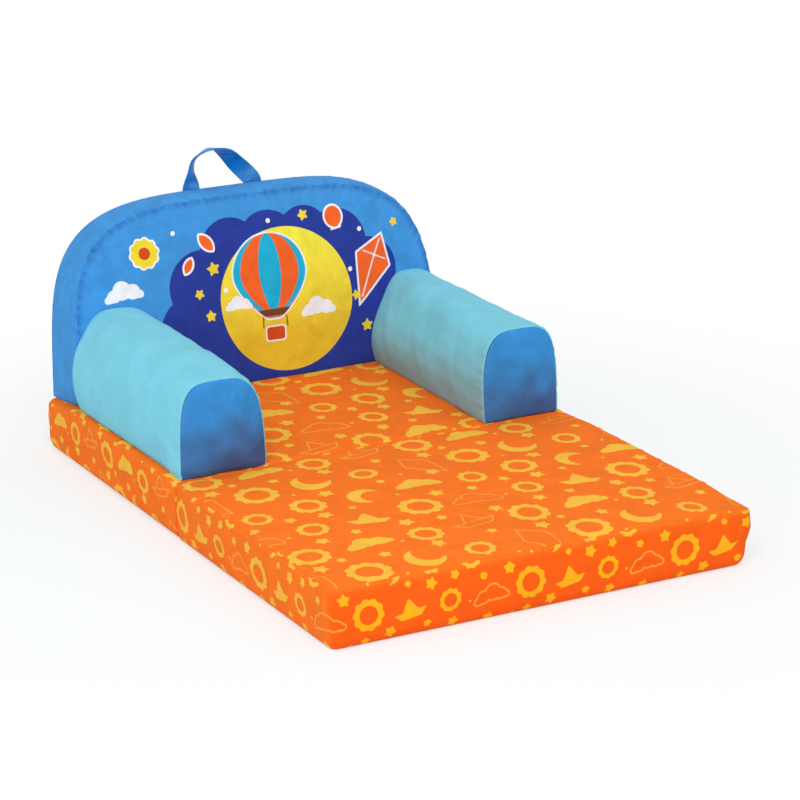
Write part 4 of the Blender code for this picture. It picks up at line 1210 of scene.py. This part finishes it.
def makeArm(name, side):
    middle = (side * arm["centre"], 0.18, 0.15)

    def sleeveMarks(s, run, x, y, z):  # painted shade, deepest low on the side that faces the seat
        amount, height, width = arm["rubbedSide"]
        low = 1 - smooth((z - seatTop) / height)
        return {"footNap": amount * low * smooth((arm["centre"] - np.abs(x)) / width)}

    rows = np.concatenate([spread(arm["reach"], *arm["sleeveRows"]),
                           arm["reach"] + arm["hem"] * np.linspace(0.1, 1, arm["hemRows"])])
    makeCover(f"{name}ArmSleeve", f"{name}_arm_sleeve", (turquoiseCloth, "seat_block", "arm_cloth", 0.9),
              spread(archRun[-1], *arm["sleeveColumns"]), rows, sleevePlace(side), middle, sleeveMarks)

    # painted shade low on the end panel, uneven, and deeper towards its right
    def endMarks(a, b, x, y, z):
        amount, less, start, height, uneven, least = arm["rubbedEnd"]
        low = 1 - smooth((z - seatTop - start) / height + hills(x, z, uneven, 4.0 + side))
        rightwards = smooth((x - side * arm["centre"]) / 0.07 + 0.6)
        return {"footNap": (amount - less * side) * low * (least + (1 - least) * rightwards)}

    columns = np.concatenate([[-1], np.linspace(*arm["endColumns"]), [1]])
    rows = np.concatenate([[0], np.linspace(*arm["endRows"]), [1]])
    makeCover(f"{name}ArmFront", f"{name}_arm_front_panel", (blueCloth, "seat_block", "arm_end_cloth", 0.9),
              columns, rows, armFrontPlace(side), middle, endMarks)

    def foamPlace(a, b, step):  # from the front panel to the backrest
        start, steps = arm["front"] + arm["foamFront"], arm["foamSteps"]
        y = np.array([start + (arm["rearLow"] - start) * step / steps])
        x, y, z = armPoint(side, *archShares(a, b, *armPowers(side, y)), y, arm["inset"])
        if step == steps:
            y = backFront(z) - backCrown(x, z) - sofa["cloth"] - arm["foamGap"]
        return x, y, z

    makeFoam(f"{name}ArmFoam", f"{name}_arm_foam", *arm["foamGrid"], arm["foamSteps"], foamPlace)


makeArm("left", -1)
makeArm("right", 1)
print("arms made")


# The carrying strap: both ends lie on the backrest's rear, and the loop turns edge on as it rises

strap = {
    "width": 0.030, "thickness": 0.0026, "span": 0.113, "rise": 0.063, "tab": 0.034, "leftLeg": -0.072,
    "cup": 0.0012, "gap": 0.0003, "leaves": (0.006, 0.012), "pathSteps": 10, "grid": (150, 15),
    # shares of the span and of the rise, and how far it has turned edge on
    "path": [(0.00, 0.00, 0.00), (0.00, 0.41, 0.50), (0.05, 0.75, 0.62), (0.22, 0.95, 0.80),
             (0.40, 1.00, 0.88), (0.57, 0.84, 0.60), (0.74, 0.53, 0.33), (0.92, 0.20, 0.08),
             (1.00, 0.00, 0.00)],
    # where a highlight is painted on the satin: a share of the strap's length, how far it fades, and how much
    "lifts": [(0.81, 0.055, 0.95), (0.40, 0.06, 0.55), (0.155, 0.03, 0.6)],
}


def smoothPath(points, steps):
    ends = [2 * points[0] - points[1], *points, 2 * points[-1] - points[-2]]
    path = []
    for index in range(len(points) - 1):
        before, start, end, after = ends[index:index + 4]
        for step in range(steps):
            t = step / steps
            path.append((2 * start + (end - before) * t + (2 * before - 5 * start + 4 * end - after) * t ** 2
                         + (3 * start - before - 3 * end + after) * t ** 3) / 2)
    return np.array([*path, points[-1]])


def makeStrap():
    crest, halfWidth = seatTop + backrest["height"], strap["width"] / 2
    tab = strap["tab"] / strap["rise"]
    shares = [(0, -tab, 0), (0, -tab / 2, 0), *strap["path"], (1, -tab / 2, 0), (1, -tab, 0)]
    path = smoothPath([np.array([x * strap["span"], z * strap["rise"], turn]) for x, z, turn in shares],
                      strap["pathSteps"])
    along = pathLength(path[:, 0], path[:, 1])
    tangents = directions(path[:, 0], path[:, 1], along)

    def place(s, w):
        px, pz, turn = (np.interp(s, along, path[:, i]) for i in range(3))
        dx, dz = (np.interp(s, along, values) for values in tangents)
        turn = np.where(pz < 0, 0, turn) * math.pi / 2
        x, z = strap["leftLeg"] + px, crest + pz
        y = backrest["rear"] + strap["gap"] + strap["thickness"] / 2
        above, fade = strap["leaves"]  # it follows the rear panel's puff up to here, over this fade
        y = y + rearPuff(x, z) * smooth((above - pz) / fade)
        # the strap cups a little across its width where it bends
        cup = strap["cup"] * bump(w / halfWidth) * np.sin(np.pi * unit(pz / strap["rise"]))
        flat, onEdge = np.cos(turn) * w + cup * np.sin(turn), np.sin(turn) * w - cup * np.cos(turn)
        return x + dz * flat, y + onEdge, z - dx * flat

    # painted highlight along the strap
    def strapMarks(s, w, x, y, z):
        run = s / along[-1] + 0.6 * w
        lifts = [amount * np.exp(-((run - middle) / reach) ** 2) for middle, reach, amount in strap["lifts"]]
        return {"satinLift": unit(sum(lifts))}

    long, wide = strap["grid"]
    obj = newObject("carryStrap", formedGrid(
        "carryStrap", np.linspace(0, along[-1], long), np.linspace(-halfWidth, halfWidth, wide), place,
        (0, 0.0, 0.3), strapMarks))
    addWall(obj, strap["thickness"], 0)
    dress(obj, "carry_handle", strapCloth, "seat_block", "strap")


makeStrap()
print("strap made")


# The zips stay as they are in the frame, with finer finishes

for prefix in ("base", "panel"):
    for part, material in (("zip", tapeCloth), ("zip_slider", castZinc), ("zip_pull", castZinc)):
        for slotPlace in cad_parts[f"{prefix}_{part}"].material_slots:
            slotPlace.material = material


# Floor and light

studio = {
    "floor": "F2F9FB", "floorShown": 0.40, "skyLevel": 0.74, "keyLevel": 56.0, "keySize": 2.2,
    "keyPlace": (-1.5, -2.2, 2.9), "whiteFrom": 0.50, "whiteTo": 1.25,
}


def seenDirectly(add):  # 1 where the camera looks straight at it, or through or off something shiny
    seen = 0.0
    for ray in ("Is Camera Ray", "Is Glossy Ray", "Is Transmission Ray"):
        seen = add("Math", [seen, add("LightPath", output=ray)], operation="MAXIMUM")
    return seen


def makeFloor():
    bm = bmesh.new()
    bmesh.ops.create_grid(bm, x_segments=1, y_segments=1, size=14)
    floor = newObject("floor", toMesh(bm, bpy.data.meshes.new("floor")))
    # Matt painted floor. The camera sees it part lit and part white, so that only soft shadows show on it,
    # and farther out it is all white
    material, add = newMaterial("mattStudioFloor")
    place = add("TexCoord", output="Object")
    far = add("VectorMath", [place], "Value", operation="LENGTH")
    far = add("MapRange", [far, studio["whiteFrom"], studio["whiteTo"]], interpolation_type="SMOOTHSTEP")
    shown = add("Math", [far, -studio["floorShown"], studio["floorShown"]], operation="MULTIPLY_ADD")
    lit = add("MapRange", [seenDirectly(add), 0, 1, 1, shown])
    paint = linear(studio["floor"])[:3]
    floor.data.materials.append(finishMaterial(material, {
        "Base Color": add("VectorMath", {0: paint, "Scale": lit}, operation="SCALE"),
        "Emission Color": "FFFFFF", "Emission Strength": add("Math", [1, lit], operation="SUBTRACT"),
        "Roughness": 1.0, "Specular IOR Level": 0.0,
    }))


def makeLight():
    scene.world = bpy.data.worlds.new("studio")
    scene.world.use_nodes = True
    tree = scene.world.node_tree
    add = partial(addNode, tree)
    level = add("MapRange", [seenDirectly(add), 0, 1, studio["skyLevel"], 1])
    setInputs(tree.nodes["Background"], {"Color": "FFFFFF", "Strength": level})
    lamp = newObject("keyLight", bpy.data.lights.new("keyLight", "AREA"))
    lamp.data.energy, lamp.data.size = studio["keyLevel"], studio["keySize"]
    aim(lamp, studio["keyPlace"], [-value for value in studio["keyPlace"]])
    scene.view_settings.view_transform = "Standard"


makeFloor()
makeLight()
print("studio made")
